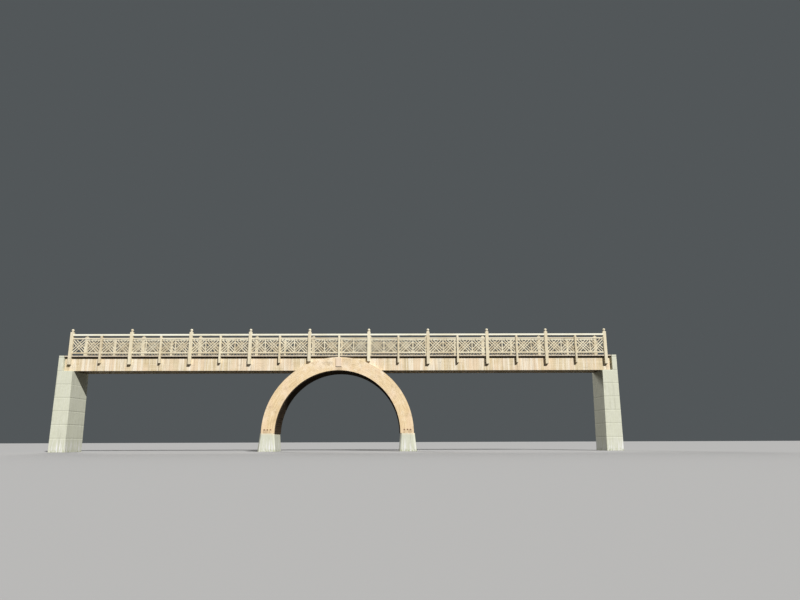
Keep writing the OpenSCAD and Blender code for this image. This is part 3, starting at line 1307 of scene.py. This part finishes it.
class Rows(Repeater):
    """Copies in rows: so many along one step and so many along another, each up to a jitter off."""

    INPUTS = {
        "First Count": "NodeSocketInt",
        "First Step": "NodeSocketVector",
        "Second Count": "NodeSocketInt",
        "Second Step": "NodeSocketVector",
        "Origin": "NodeSocketVector",
        "Turn": "NodeSocketVector",
        "Jitter": "NodeSocketVector",
    }

    def places(self, given: Node) -> tuple[Value, Value]:
        """Points on a grid and one rotation for all.

        Args:
            given: Inputs of the tree.

        Returns:
            The points and the rotation.
        """
        graph = self.graph
        index = graph.add("GeometryNodeInputIndex").out()
        first = index % given.out("First Count")
        second = (index / given.out("First Count")).floor()
        one = graph.scaled(given.out("First Step"), first)
        two = graph.scaled(given.out("Second Step"), second)
        place = graph.vectors("ADD", graph.vectors("ADD", one, two), given.out("Origin"))
        stray = self.draw((-1.0, -1.0, -1.0), (1.0, 1.0, 1.0), index, given.out("Seed") + 2.0)
        place = graph.vectors("ADD", place, graph.vectors("MULTIPLY", stray, given.out("Jitter")))
        count = given.out("First Count") * given.out("Second Count")
        return self.points(count, place, given.out("Turn"))


class AlongArch(Repeater):
    """Copies side by side along a curve about the arch's centre."""

    INPUTS = {
        "Count": "NodeSocketInt",
        "Radius": "NodeSocketFloat",
        "Start Angle": "NodeSocketFloat",
        "End Angle": "NodeSocketFloat",
        "Centre Height": "NodeSocketFloat",
    }

    def places(self, given: Node) -> tuple[Value, Value]:
        """Points on the curve, each turned to face the centre.

        Args:
            given: Inputs of the tree.

        Returns:
            The points and their rotation.
        """
        graph = self.graph
        start, radius = given.out("Start Angle"), given.out("Radius")
        share = (graph.add("GeometryNodeInputIndex").out() + 0.5) / given.out("Count")
        angle = start + (given.out("End Angle") - start) * share
        height = angle.sine() * radius + given.out("Centre Height")
        place = graph.combine(angle.cosine() * radius, 0.0, height)
        return self.points(given.out("Count"), place, graph.combine(0.0, math.pi / 2 - angle, 0.0))


# Fasteners


@dataclass(frozen=True)
class Fastener:
    """Domed head of a nail or bolt, standing on Z = 0 with its axis along Z."""

    radius: float
    height: float
    steps: int = 10

    def profile(self) -> Outline:
        """Radius and height of each ring: a low dome."""
        r, h = self.radius, self.height
        return [(r * 0.8, -h), (r, -h * 0.4), (r, h * 0.45), (r * 0.72, h * 0.85), (r * 0.3, h)]

    def drive(self, work: Woodwork, place: Matrix) -> None:
        """Adds one head at a place."""
        work.turned(self.profile(), self.steps, place)

    def alone(self) -> Woodwork:
        """Work that holds one head at the origin.

        Returns:
            The work.
        """
        work = Woodwork(1)
        self.drive(work, Matrix.Identity(4))
        return work


@dataclass(frozen=True)
class DeckScrew(Fastener):
    """Flush screw head with a hollow drive."""

    def profile(self) -> Outline:
        """Radius and height of each ring: a flat rim round a hollow."""
        r, h = self.radius, self.height
        return [(r * 0.7, -h), (r, 0.0), (r * 0.92, h), (r * 0.45, h), (r * 0.3, h * 0.2)]


@dataclass(frozen=True)
class HexBolt(Fastener):
    """Hexagonal bolt head on a round washer."""

    steps: int = 6
    washer_radius: float = 0.03
    washer_t: float = 0.004
    washer_steps: int = 24

    def profile(self) -> Outline:
        """Radius and height of each ring of the head, from inside the washer."""
        r, h, t = self.radius, self.height, self.washer_t
        return [(r, t * 0.5), (r, t + h * 0.8), (r * 0.88, t + h), (r * 0.5, t + h)]

    def drive(self, work: Woodwork, place: Matrix) -> None:
        """Adds one washer and its head at a place.

        Args:
            work: Work that it joins.
            place: Matrix from the bolt to the work.
        """
        w, t = self.washer_radius, self.washer_t
        disc = [(w * 0.97, -t), (w, 0.0), (w, t * 0.7), (w * 0.95, t)]
        work.turned(disc, self.washer_steps, place)
        super().drive(work, place)


# Sub-assemblies


@dataclass
class SubAssembly:
    """A part of the bridge, with what it is made from."""

    lay: Layout
    finish: Palette
    rows: Rows
    along_arch: AlongArch

    def build(self) -> None:
        """Builds every piece of the sub-assembly."""
        raise NotImplementedError


@dataclass
class Arch(SubAssembly):
    """Laminated ribs, crown covers, boarding below and struts between."""

    layers: int = 16
    bevel: float = 0.0012
    step: float = math.radians(1.5)
    board_min: float = 2.4
    board_max: float = 4.2
    last_board: float = 0.12
    layer_shy: float = 0.0009
    cover_bevel: float = 0.005
    cover_bolt: Fastener = Fastener(radius=0.013, height=0.006, steps=14)
    cover_bolt_inset: float = 0.05
    foot_bolt: Fastener = HexBolt(radius=0.017, height=0.013)
    foot_bolts: int = 3
    foot_bolt_rise: float = 0.158
    foot_bolt_pitch: float = 0.142
    foot_bolt_shift: float = 0.012
    soffit_t: float = 0.038
    soffit_boards: int = 48
    soffit_gap: float = 0.004
    soffit_bevel: float = 0.004
    soffit_nail: Fastener = Fastener(radius=0.005, height=0.0016, steps=8)
    nail_insets: tuple[float, float] = (0.06, 0.1)
    nail_spread: float = 0.28
    strut_w: float = 0.14
    strut_bevel: float = 0.006
    strut_angles: tuple[float, float] = (math.radians(16), math.radians(44))

    def build(self) -> None:
        """Builds every piece of the arch."""
        for side in Side:
            for end in End:
                self.rib(side, end)
            self.cover(side)
            for end in End:
                self.bolt_foot(side, end)
        for end in End:
            self.soffit(end)
        self.spreaders()

    def cuts(self, work: Woodwork, inner: float, angles: Sequence[float], staggered: bool) -> list[float]:
        """Angles at which the boards of one layer start and stop, at random places.

        Args:
            work: Mesh whose random draws are used.
            inner: Inner radius of the layer.
            angles: Where the rib starts and stops.
            staggered: True where the first board is half as long.

        Returns:
            The angles in order, with both ends of the rib.
        """
        cuts = [angles[0]]
        while True:
            reach = work.rng.uniform(self.board_min, self.board_max) / inner
            if staggered and len(cuts) == 1:
                reach *= 0.5
            if cuts[-1] + reach > angles[1] - self.last_board:
                return [*cuts, angles[1]]
            cuts.append(cuts[-1] + reach)

    def rib(self, side: Side, end: End) -> None:
        """Builds one rib from bent layers, each of boards that meet at random places.

        Args:
            side: Side of the bridge.
            end: Half of the arch.
        """
        lay = self.lay
        node = f"{side.word}_{end.word}_rib"
        work = Woodwork(100 + 10 * side.value + end.value)
        thick = (lay.outer_r - lay.inner_r) / self.layers
        for layer in range(self.layers):
            inner = lay.inner_r + layer * thick
            cuts = self.cuts(work, inner, end.angles, layer % 2 == 1)
            for angles in zip(cuts, cuts[1:]):
                face = lay.face_y - work.rng.uniform(0.0, self.layer_shy)
                ys = sorted((side.value * face, side.value * lay.girder_y))
                work.arc((inner, inner + thick), angles, ys, lay.spring_z, self.bevel, self.step)
        add_piece(node + "_layers", work.mesh(), self.finish.arch, [node])

    def cover(self, side: Side) -> None:
        """Builds the cover board over the crown joint, with its four bolts.

        Args:
            side: Side of the bridge.
        """
        node = f"{side.word}_crown_cover"
        low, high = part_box(node)
        work = Woodwork(140 + side.value)
        work.beam(low, high, Grain.ALONG_Z, self.cover_bevel)
        add_piece(node + "_board", work.mesh(), self.finish.cover, [node])
        inset_by = self.cover_bolt_inset
        face = low.y if side is Side.FRONT else high.y
        self.rows.add_copies(
            node + "_bolts", self.cover_bolt.alone(), self.finish.bolts, seed=3, slot="cover_timber",
            First_Count=2, First_Step=(high.x - low.x - 2 * inset_by, 0, 0),
            Second_Count=2, Second_Step=(0, 0, high.z - low.z - 2 * inset_by),
            Origin=(low.x + inset_by, face - side.value * self.cover_bolt.height, low.z + inset_by),
            Turn=(side.turn, 0, 0),
        )

    def bolt_foot(self, side: Side, end: End) -> None:
        """Builds the bolts through one foot of a rib.

        Args:
            side: Side of the bridge.
            end: Half of the arch.
        """
        lay = self.lay
        middle = end.value * ((lay.outer_r + lay.inner_r) / 2 + self.foot_bolt_shift)
        start = middle - self.foot_bolt_pitch * (self.foot_bolts - 1) / 2
        self.rows.add_copies(
            f"{side.word}_{end.word}_foot_bolts", self.foot_bolt.alone(), self.finish.bolts, seed=5,
            First_Count=self.foot_bolts, First_Step=(self.foot_bolt_pitch, 0, 0), Second_Count=1,
            Origin=(start, side.value * lay.face_y, lay.spring_z + self.foot_bolt_rise),
            Turn=(side.turn, 0, 0),
        )

    def soffit(self, end: End) -> None:
        """Builds the boarding under one half of the arch, and its nails.

        Args:
            end: Half of the arch.
        """
        node = f"{end.word}_soffit"
        low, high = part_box(node)
        outer, thick = self.lay.inner_r, self.soffit_t
        span = math.pi / 2 / self.soffit_boards
        width = 2 * (outer - thick) * math.tan(span / 2) - self.soffit_gap
        under = outer * math.cos(span / 2) - outer - thick
        board = Woodwork(150)
        outline = rectangle((low.y, -width / 2), (high.y, width / 2))
        board.prism(outline, thick, self.soffit_bevel, across(0.0, under))
        nails = Woodwork(151)
        near, far = self.nail_insets
        for y in (low.y + near, low.y + far, high.y - far, high.y - near):
            for x in (-width * self.nail_spread, width * self.nail_spread):
                down = Matrix.Translation((x, y, under)) @ Matrix.Rotation(math.pi, 4, "X")
                self.soffit_nail.drive(nails, down)
        start, stop = end.angles
        sizes = {
            "Count": self.soffit_boards, "Radius": outer, "Start_Angle": start, "End_Angle": stop,
            "Centre_Height": self.lay.spring_z,
        }
        finish = self.finish
        seed = 150 + end.value
        self.along_arch.add_copies(node + "_boards", board, finish.soffit, seed, [node], **sizes)
        self.along_arch.add_copies(
            node + "_nails", nails, finish.nails, seed=7, slot="soffit_timber", **sizes
        )

    def spreaders(self) -> None:
        """Builds the struts between the ribs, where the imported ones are."""
        lay, size = self.lay, self.strut_w
        work = Woodwork(160)
        along = Vector((0, 1, 0))
        for end in End:
            for rise in self.strut_angles:
                angle = rise if end is End.RIGHT else math.pi - rise
                out = Vector((math.cos(angle), 0, math.sin(angle)))
                thick = along.cross(out)
                centre = out * (lay.outer_r + lay.inner_r) / 2 + Vector((0, 0, lay.spring_z))
                corner = centre - out * size / 2 - thick * size / 2 - along * lay.girder_y
                outline = rectangle((0, 0), (2 * lay.girder_y, size))
                work.prism(outline, size, self.strut_bevel, frame_matrix((along, out, thick), corner))
        add_piece("arch_spreaders_timbers", work.mesh(), self.finish.soffit, ["arch_spreaders"])


@dataclass
class Girders(SubAssembly):
    """Laminated side girders and the blocks between them."""

    layer: float = 0.038
    bevel: float = 0.0012
    board_min: float = 2.8
    board_max: float = 5.6
    last_board: float = 1.0
    layer_shy: float = 0.0009
    block_bevel: float = 0.005

    def build(self) -> None:
        """Builds both girders and the cross blocks."""
        for side in Side:
            self.girder(side)
        self.cross_blocks()

    def cross_blocks(self) -> None:
        """Builds the blocks between the girders, one at each tall post."""
        lay = self.lay
        work = Woodwork(220)
        low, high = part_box("cross_blocks")
        half = (high.x - low.x) / 2 - lay.half_bays * lay.bay
        for number in lay.posts(tall=True):
            x = number * lay.bay
            corner = (x - half, low.y, low.z)
            work.beam(corner, (x + half, high.y, high.z), Grain.ALONG_Y, self.block_bevel)
        add_piece("cross_blocks_timbers", work.mesh(), self.finish.soffit, ["cross_blocks"])

    def girder(self, side: Side) -> None:
        """Builds one girder from flat layers, each of boards that meet at random places.

        Args:
            side: Side of the bridge.
        """
        node = f"{side.word}_girder"
        low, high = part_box(node)
        work = Woodwork(200 + side.value)
        layers = round((high.z - low.z) / self.layer)
        thick = (high.z - low.z) / layers
        for layer in range(layers):
            bottom = low.z + layer * thick
            x = low.x
            while x < high.x:
                reach = x + work.rng.uniform(self.board_min, self.board_max)
                stop = high.x if reach > high.x - self.last_board else reach
                shy = work.rng.uniform(0.0, self.layer_shy)
                front = low.y + (shy if side is Side.FRONT else 0.0)
                back = high.y - (shy if side is Side.BACK else 0.0)
                corner = (x, front, bottom)
                work.beam(corner, (stop, back, bottom + thick), Grain.ALONG_X, self.bevel)
                x = stop
        add_piece(node + "_layers", work.mesh(), self.finish.girder, [node])


@dataclass
class Deck(SubAssembly):
    """Planks across the girders, cut round the posts, and their screws."""

    planks_per_bay: int = 9
    gap: float = 0.006
    bevel: float = 0.004
    notch_gap: float = 0.003
    screw: Fastener = DeckScrew(radius=0.0055, height=0.0012)
    screw_spread: float = 0.09
    shy: float = 0.001
    sink: float = 0.0011

    def build(self) -> None:
        """Builds the plain planks, those at the posts, and the screws."""
        lay = self.lay
        pitch = lay.bay / self.planks_per_bay
        count = self.planks_per_bay * lay.half_bays + 1
        plain = Woodwork(300)
        self.plank(plain, 1, 0.0)
        self.rows.add_copies(
            "deck_planks", plain, self.finish.deck, seed=300, nodes=["deck"],
            First_Count=self.planks_per_bay - 1, First_Step=(pitch, 0, 0),
            Second_Count=2 * lay.half_bays, Second_Step=(lay.bay, 0, 0),
            Origin=(pitch - lay.half_bays * lay.bay, 0, 0), Jitter=(0, self.shy, self.sink),
        )
        cut = Woodwork(302)
        for number in (-count, *range(1 - count, count, self.planks_per_bay), count):
            self.plank(cut, number, number * pitch)
        add_piece("deck_post_planks", cut.mesh(), self.finish.deck)
        screws = Woodwork(301)
        for x in (-self.screw_spread / 2, self.screw_spread / 2):
            self.screw.drive(screws, Matrix.Translation((x, 0, 0)))
        middle = (lay.girder_y + lay.girder_in) / 2
        self.rows.add_copies(
            "deck_screws", screws, self.finish.nails, seed=11, slot="deck_timber",
            First_Count=2 * count + 1, First_Step=(pitch, 0, 0),
            Second_Count=2, Second_Step=(0, 2 * middle, 0),
            Origin=(-count * pitch, -middle, lay.deck_z - 2 * self.sink),
        )

    def plank(self, work: Woodwork, number: int, x: float) -> None:
        """Adds one plank, shortened or notched where a post passes through the deck.

        Args:
            work: Mesh that the plank joins.
            number: Number of the plank, counted from the crown.
            x: Place of its middle along the bridge.
        """
        lay = self.lay
        half = (lay.bay / self.planks_per_bay - self.gap) / 2
        reach = lay.deck_y - self.shy
        outline = rectangle((-reach, -half), (reach, half))
        if number % self.planks_per_bay == 0:
            inner = lay.girder_y - self.notch_gap
            if lay.is_tall(number // self.planks_per_bay):
                outline = rectangle((-inner, -half), (inner, half))
            else:
                cut = lay.short_w / 2 + self.notch_gap
                right = [(reach, -half), (reach, -cut), (inner, -cut)]
                right += [(u, -v) for u, v in reversed(right)]
                left = [(-u, -v) for u, v in right]
                outline = left[-1:] + right + left[:-1]
        thick = lay.deck_z - lay.deck_under - 2 * self.sink
        work.prism(outline, thick, self.bevel, across(x, lay.deck_under + self.sink))


@dataclass
class Posts(SubAssembly):
    """Tall posts with turned heads, short posts, and the bolts that hold them."""

    bevel: float = 0.006
    ball_r: float = 0.063
    ball_steps: int = 20
    neck_foot_r: float = 0.052
    neck_h: float = 0.036
    hollow_r: float = 0.017
    hollow_steps: int = 6
    lip: float = 0.005
    ease: float = 0.001
    steps: int = 36
    bolt: Fastener = Fastener(radius=0.013, height=0.005, steps=14)
    bolt_inset: float = 0.07

    def build(self) -> None:
        """Builds the posts of both sides."""
        for side in Side:
            for tall in (True, False):
                self.row(side, tall)

    def ball_z(self) -> float:
        """Height of the ball's middle above the shaft."""
        collar = self.neck_foot_r - self.hollow_r + self.lip
        return self.neck_h + math.sqrt(self.ball_r**2 - collar**2)

    def head(self) -> Outline:
        """Profile of the turned head: lip, hollow neck and ball.

        Returns:
            Radius and height of each ring.
        """
        foot, lip, ease, hollow = self.neck_foot_r, self.lip, self.ease, self.hollow_r
        base = [(foot - ease, 0.0), (foot, ease), (foot, lip - ease), (foot - 2 * ease, lip + ease / 2)]
        turn = (1.5 * math.pi, math.pi)
        neck = arc_points((foot + lip, lip + hollow), hollow, turn, self.hollow_steps)
        middle = self.ball_z()
        start = math.asin((self.neck_h - middle) / self.ball_r)
        ball = arc_points((0.0, middle), self.ball_r, (start, math.pi / 2), self.ball_steps)
        return [*base, *neck[1:], *ball[:-1], (2 * ease, middle + self.ball_r)]

    def feet(self, node: str, tall: bool) -> dict[int, float]:
        """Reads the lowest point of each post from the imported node's own corners.

        Args:
            node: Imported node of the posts.
            tall: True for the tall posts.

        Returns:
            The lowest point of each post, by its number.
        """
        found = {n: math.inf for n in self.lay.posts(tall)}
        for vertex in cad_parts[node].data.vertices:
            number = round(vertex.co.x / self.lay.bay)
            found[number] = min(found[number], vertex.co.z)
        return found

    def row(self, side: Side, tall: bool) -> None:
        """Builds the tall or the short posts of one side, and their bolts.

        Args:
            side: Side of the bridge.
            tall: True for the tall posts.
        """
        lay = self.lay
        node = f"{side.word}_{'tall' if tall else 'short'}_posts"
        half = (lay.tall_w if tall else lay.short_w) / 2
        top = lay.ball_top - (self.ball_z() + self.ball_r) if tall else lay.rail_z
        low_y, high_y = sorted((side.value * lay.post_in, side.value * lay.post_out))
        face = side.value * (lay.post_out - self.bolt.height)
        work = Woodwork(400 + 10 * side.value + tall)
        bolts = Woodwork(410)
        for number, foot in self.feet(node, tall).items():
            x = number * lay.bay
            corner = (x - half, low_y, foot)
            work.beam(corner, (x + half, high_y, top), Grain.ALONG_Z, self.bevel)
            self.bolt.drive(bolts, side.outward((x, face, foot + self.bolt_inset)))
            if number:
                self.bolt.drive(bolts, side.outward((x, face, lay.deck_under - self.bolt_inset)))
        add_piece(node + "_timbers", work.mesh(), self.finish.post, [node])
        add_piece(node + "_bolts", bolts.mesh(), self.finish.bolts)
        if tall:
            self.heads(node, (low_y + high_y) / 2, top)

    def heads(self, node: str, y: float, z: float) -> None:
        """Builds the turned heads of one side's tall posts.

        Args:
            node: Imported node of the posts.
            y: Middle of the posts across the bridge.
            z: Top of their shafts.
        """
        bay = self.lay.bay
        numbers = self.lay.posts(tall=True)
        head = Woodwork(420)
        head.turned(self.head(), self.steps, Matrix.Identity(4))
        self.rows.add_copies(
            node + "_heads", head, self.finish.post, seed=420,
            First_Count=len(numbers), First_Step=(2 * bay, 0, 0), Second_Count=1,
            Origin=(numbers[0] * bay, y, z),
        )


@dataclass
class Railings(SubAssembly):
    """Handrails and lattice panels of both sides."""

    rail_h: float = 0.065
    rail_bevel: float = 0.004
    handrail_bevel: float = 0.003
    round_r: float = 0.014
    round_steps: int = 5
    slat_w: float = 0.04
    slat_t: float = 0.02
    slat_pitch: float = 0.096
    slats_each_way: int = 3
    slat_bevel: float = 0.0018
    stile_w: float = 0.042
    stile_bevel: float = 0.003
    joint: float = 0.0008
    nail: Fastener = Fastener(radius=0.0036, height=0.0012, steps=8)

    def build(self) -> None:
        """Builds the handrails, the lattice and the nails."""
        for side in Side:
            self.handrails(side)
            for panel in range(1, self.lay.half_bays + 1):
                self.panel(side, panel)

    def handrails(self, side: Side) -> None:
        """Builds the handrails of one side, with rounded upper edges.

        Args:
            side: Side of the bridge.
        """
        lay, r, steps = self.lay, self.round_r, self.round_steps
        node = f"{side.word}_handrails"
        low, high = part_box(node)
        work = Woodwork(500 + side.value)
        depth, height = high.y - low.y, high.z - low.z
        outer = arc_points((depth - r, height - r), r, (0.0, math.pi / 2), steps)
        inner = arc_points((r, height - r), r, (math.pi / 2, math.pi), steps)
        section = [(0.0, 0.0), (depth, 0.0), *outer, *inner]
        for number in lay.posts(tall=True)[:-1]:
            start = number * lay.bay + lay.tall_w / 2 + self.joint
            stop = (number + 2) * lay.bay - lay.tall_w / 2 - self.joint
            work.swept(section, start, stop, Vector((0, low.y, low.z)), self.handrail_bevel)
        add_piece(node + "_timbers", work.mesh(), self.finish.handrail, [node])

    def cell_width(self) -> float:
        """Width of one cell of slats."""
        clear = self.lay.bay - (self.lay.tall_w + self.lay.short_w) / 2
        return (clear - self.stile_w) / 2

    def offsets(self) -> list[float]:
        """How far the parallel slats of a cell lie from its diagonal."""
        spread = (self.slats_each_way - 1) / 2
        return [(number - spread) * self.slat_pitch for number in range(self.slats_each_way)]

    def slats(self, side: Side, width: float, height: float) -> Woodwork:
        """One cell of crossed slats, from its lower left corner.

        Args:
            side: Side of the bridge; the first layer is the outer one.
            width: Width of the cell.
            height: Height of the cell.

        Returns:
            The slats of the cell.
        """
        work = Woodwork(520)
        reach, half = (width + height) / 2, self.slat_w / 2
        centre = Vector((width / 2, height / 2))
        for lean in (1, -1):
            angle = lean * math.atan2(height, width)
            run = Vector((math.cos(angle), math.sin(angle)))
            rise = Vector((-run.y, run.x))
            depth = self.slat_t if lean * side.value > 0 else 0.0
            rows = ((run.x, 0, run.y), (rise.x, 0, rise.y), (0, -1, 0))
            place = frame_matrix(rows, (centre.x, depth, centre.y))
            for middle in self.offsets():
                strip = rectangle((-reach, middle - half), (reach, middle + half))
                strip = [tuple(centre + run * u + rise * v) for u, v in strip]
                kept = [Vector(p) - centre for p in clip_to_rectangle(strip, width, height)]
                outline = [(p.dot(run), p.dot(rise)) for p in kept]
                work.prism(outline, self.slat_t, self.slat_bevel, place)
        return work

    def crossings(self, width: float, height: float) -> list[Vector]:
        """Places in a cell where two slats cross.

        Args:
            width: Width of the cell.
            height: Height of the cell.

        Returns:
            The places, from the lower left corner.
        """
        angle = math.atan2(height, width)
        places = []
        for a in self.offsets():
            for b in self.offsets():
                x = width / 2 + (b - a) / (2 * math.sin(angle))
                z = height / 2 + (a + b) / (2 * math.cos(angle))
                places.append(Vector((x, 0, z)))
        return places

    def panel(self, side: Side, number: int) -> None:
        """Builds one lattice panel: rails and uprights, slats, and nails at the crossings.

        Args:
            side: Side of the bridge.
            number: Number of the panel, counted from the left.
        """
        node = f"{side.word}_lattice_{number}"
        seed = 540 + 20 * number + side.value
        low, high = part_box(node)
        middle = (low.y + high.y) / 2
        bottom, top = low.z + self.rail_h, high.z - self.rail_h
        width, height = self.cell_width(), top - bottom
        clear = 2 * width + self.stile_w
        step = high.x - low.x - clear
        rails = Woodwork(seed)
        for start in (low.x, low.x + step):
            for z in (low.z, top):
                corner = (start + self.joint, low.y, z)
                far = (start + clear - self.joint, high.y, z + self.rail_h)
                rails.beam(corner, far, Grain.ALONG_X, self.rail_bevel)
            corner = (start + width, middle - self.slat_t, bottom)
            far = (start + width + self.stile_w, middle + self.slat_t, top)
            rails.beam(corner, far, Grain.ALONG_Z, self.stile_bevel)
        add_piece(node + "_rails", rails.mesh(), self.finish.rail)
        nails = Woodwork(530)
        for place in self.crossings(width, height):
            face = Vector((0, side.value * self.slat_t, 0))
            self.nail.drive(nails, side.outward(place + face))
        sizes = {
            "First_Count": 2, "First_Step": (width + self.stile_w, 0, 0),
            "Second_Count": 2, "Second_Step": (step, 0, 0), "Origin": (low.x, middle, bottom),
        }
        slats = self.slats(side, width, height)
        self.rows.add_copies(node + "_slats", slats, self.finish.rail, seed, [node], **sizes)
        self.rows.add_copies(node + "_nails", nails, self.finish.nails, seed, **sizes)


@dataclass
class Masonry(SubAssembly):
    """Cast concrete footings and abutments."""

    lift: float = 0.6
    groove: float = 0.004
    groove_half: float = 0.005
    joint_clear: float = 0.02
    cell: float = 0.05
    arris: float = 0.007
    arris_steps: int = 2
    wave: float = 0.0016
    wave_scale: float = 2.3
    chip: float = 0.012
    chip_scale: float = 8.3
    chip_shift: tuple[float, float, float] = (9.0, 4.0, 2.0)
    chip_from: float = 0.3
    flat: float = math.radians(1)
    sharp: float = math.radians(16)
    upright: float = 0.5
    same: float = 1e-5
    near: float = 0.001

    def build(self) -> None:
        """Builds the footings, each in one cast, and the abutments, in several lifts."""
        for end in End:
            self.cast(f"{end.word}_footing", [])
            _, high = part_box(f"{end.word}_abutment")
            lifts = range(1, math.ceil(high.z / self.lift))
            self.cast(f"{end.word}_abutment", [self.lift * n for n in lifts])

    def cast(self, node: str, joints: list[float]) -> None:
        """Builds one block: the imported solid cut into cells, grooved at its joints and chipped.

        Args:
            node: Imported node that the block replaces.
            joints: Heights of the joints between its lifts.
        """
        work = bmesh.new()
        work.from_mesh(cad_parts[node].data)
        bmesh.ops.remove_doubles(work, verts=work.verts, dist=self.same)
        bmesh.ops.dissolve_limit(work, angle_limit=self.flat, verts=work.verts, edges=work.edges)
        low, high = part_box(node)
        arrises = [e for e in work.edges if any(v.co.z > low.z + self.arris for v in e.verts)]
        form = {"segments": self.arris_steps, "affect": "EDGES", "profile": 0.5}
        bmesh.ops.bevel(work, geom=arrises, offset=self.arris, **form)
        for axis in range(3):
            count = max(2, round((high[axis] - low[axis]) / self.cell))
            places = [low[axis] + (high[axis] - low[axis]) * i / count for i in range(1, count)]
            if axis == 2:
                clear = self.joint_clear
                places = [z for z in places if all(abs(z - joint) > clear for joint in joints)]
                steps = (-self.groove_half, 0.0, self.groove_half)
                places += [joint + step for joint in joints for step in steps]
            self.slice(work, axis, places)
        self.weather(work, low, high, joints)
        mesh = bpy.data.meshes.new("cast")
        finish_mesh(work, mesh, self.sharp)
        add_piece(node + "_cast", mesh, self.finish.concrete, [node])

    def slice(self, work: bmesh.types.BMesh, axis: int, places: Iterable[float]) -> None:
        """Cuts the mesh by planes square to an axis.

        Args:
            work: Mesh of the block.
            axis: Number of the axis.
            places: Where the planes meet the axis.
        """
        normal = Vector((axis == 0, axis == 1, axis == 2))
        for place in places:
            geometry = work.verts[:] + work.edges[:] + work.faces[:]
            plane = {"plane_co": normal * place, "plane_no": normal}
            bmesh.ops.bisect_plane(work, geom=geometry, dist=self.same, **plane)

    def weather(self, work: bmesh.types.BMesh, low: Vector, high: Vector, joints: list[float]) -> None:
        """Moves the surface inwards: slow waves, grooves at the joints and chipped arrises.

        Args:
            work: Mesh of the block.
            low: Lowest corner of the block.
            high: Highest corner of the block.
            joints: Heights of the joints.
        """
        work.normal_update()
        outer_x = max(abs(low.x), abs(high.x))
        moves: list[tuple[bmesh.types.BMVert, Vector]] = []
        for vertex in work.verts:
            place, normal = vertex.co, vertex.normal
            if place.z < low.z + self.near or abs(place.x) > outer_x - self.near:
                continue
            depth = self.wave * (noise.noise(place * self.wave_scale) * 0.5 + 0.5)
            at_joint = any(abs(place.z - joint) < self.near for joint in joints)
            if at_joint and abs(normal.z) < self.upright:
                depth += self.groove
            edge = max((e.calc_face_angle(0.0) for e in vertex.link_edges), default=0.0)
            knock = noise.noise(place * self.chip_scale + Vector(self.chip_shift))
            if edge > self.sharp and knock > self.chip_from:
                depth += self.chip * (knock - self.chip_from) * 2
            moves.append((vertex, normal * depth))
        for vertex, move in moves:
            vertex.co -= move


# Studio


@dataclass(frozen=True)
class FarLamp:
    """A far lamp: where it stands, as seen from the bridge, and how strong and wide it is."""

    name: str
    azimuth: float
    height: float
    power: float
    width: float
    colour: Colour = (1.0, 0.975, 0.94)

    def add(self) -> None:
        """Adds the lamp; its azimuth turns from the front towards the right end."""
        data = bpy.data.lights.new(self.name, "SUN")
        data.energy = self.power
        data.angle = self.width
        data.color = self.colour
        flat, up = math.cos(self.height), math.sin(self.height)
        to_lamp = Vector((math.sin(self.azimuth) * flat, -math.cos(self.azimuth) * flat, up))
        put(self.name, data).rotation_euler = (-to_lamp).to_track_quat("-Z", "Y").to_euler()


@dataclass
class Studio:
    """Camera, light, floor and background."""

    lens: float = 27.77
    sensor: float = 36.0
    clip_end: float = 2000.0
    eye: tuple[float, float, float] = (2.544, -29.06, 0.425)
    yaw: float = math.radians(0.566)
    tilt: float = math.radians(12.914)
    roll: float = math.radians(-0.19)
    lamps: tuple[FarLamp, ...] = (
        FarLamp(
            name="sun", azimuth=math.radians(30), height=math.radians(34),
            power=4.2, width=math.radians(1),
        ),
        FarLamp(
            name="back_light", azimuth=math.radians(205), height=math.radians(25),
            power=1.6, width=math.radians(25),
        ),
    )
    fill: Colour = (0.097, 0.1, 0.105)
    backdrop: Colour = (0.085, 0.095, 0.100)
    floor_finish: Finish = FloorFinish()
    floor_half: float = 400.0
    floor_z: float = -0.002

    def build(self) -> None:
        """Builds the whole studio."""
        bpy.context.scene.view_settings.view_transform = "Standard"
        self.camera()
        for lamp in self.lamps:
            lamp.add()
        self.world()
        self.floor()

    def camera(self) -> None:
        """Adds the camera at the photograph's viewpoint."""
        data = bpy.data.cameras.new("camera")
        data.lens = self.lens
        data.sensor_width = self.sensor
        data.clip_end = self.clip_end
        turn = Matrix.Rotation(-self.yaw, 4, "Z")
        turn = turn @ Matrix.Rotation(math.pi / 2 + self.tilt, 4, "X")
        turn = turn @ Matrix.Rotation(self.roll, 4, "Z")
        camera = put("camera", data)
        camera.matrix_world = Matrix.Translation(self.eye) @ turn
        bpy.context.scene.camera = camera

    def world(self) -> None:
        """Adds the plain background and the even fill light."""
        world = bpy.data.worlds.new("studio")
        world.use_nodes = True
        paint = Paint(world.node_tree)
        colour = paint.mix(seen_directly(paint), self.fill, self.backdrop)
        light = paint.add("ShaderNodeBackground", None, {"Color": colour, "Strength": 1.0}).out()
        paint.add("ShaderNodeOutputWorld", None, {"Surface": light})
        bpy.context.scene.world = world

    def floor(self) -> None:
        """Adds the pale floor under the bridge."""
        half = self.floor_half
        outline = rectangle((-half, -half), (half, half))
        mesh = bpy.data.meshes.new("floor")
        mesh.from_pydata([(x, y, self.floor_z) for x, y in outline], [], [(0, 1, 2, 3)])
        mesh.materials.append(self.floor_finish.material())
        put("floor", mesh)


def main() -> None:
    """Builds the sub-assemblies in order."""
    logging.basicConfig(level=logging.INFO, format="%(name)s: %(message)s")
    lay = Layout.read()
    shop = (lay, Palette.weathered(lay), Rows(), AlongArch())
    Studio().build()
    for kind in (Masonry, Arch, Girders, Deck, Posts, Railings):
        kind(*shop).build()


if __name__ == "__main__":
    main()
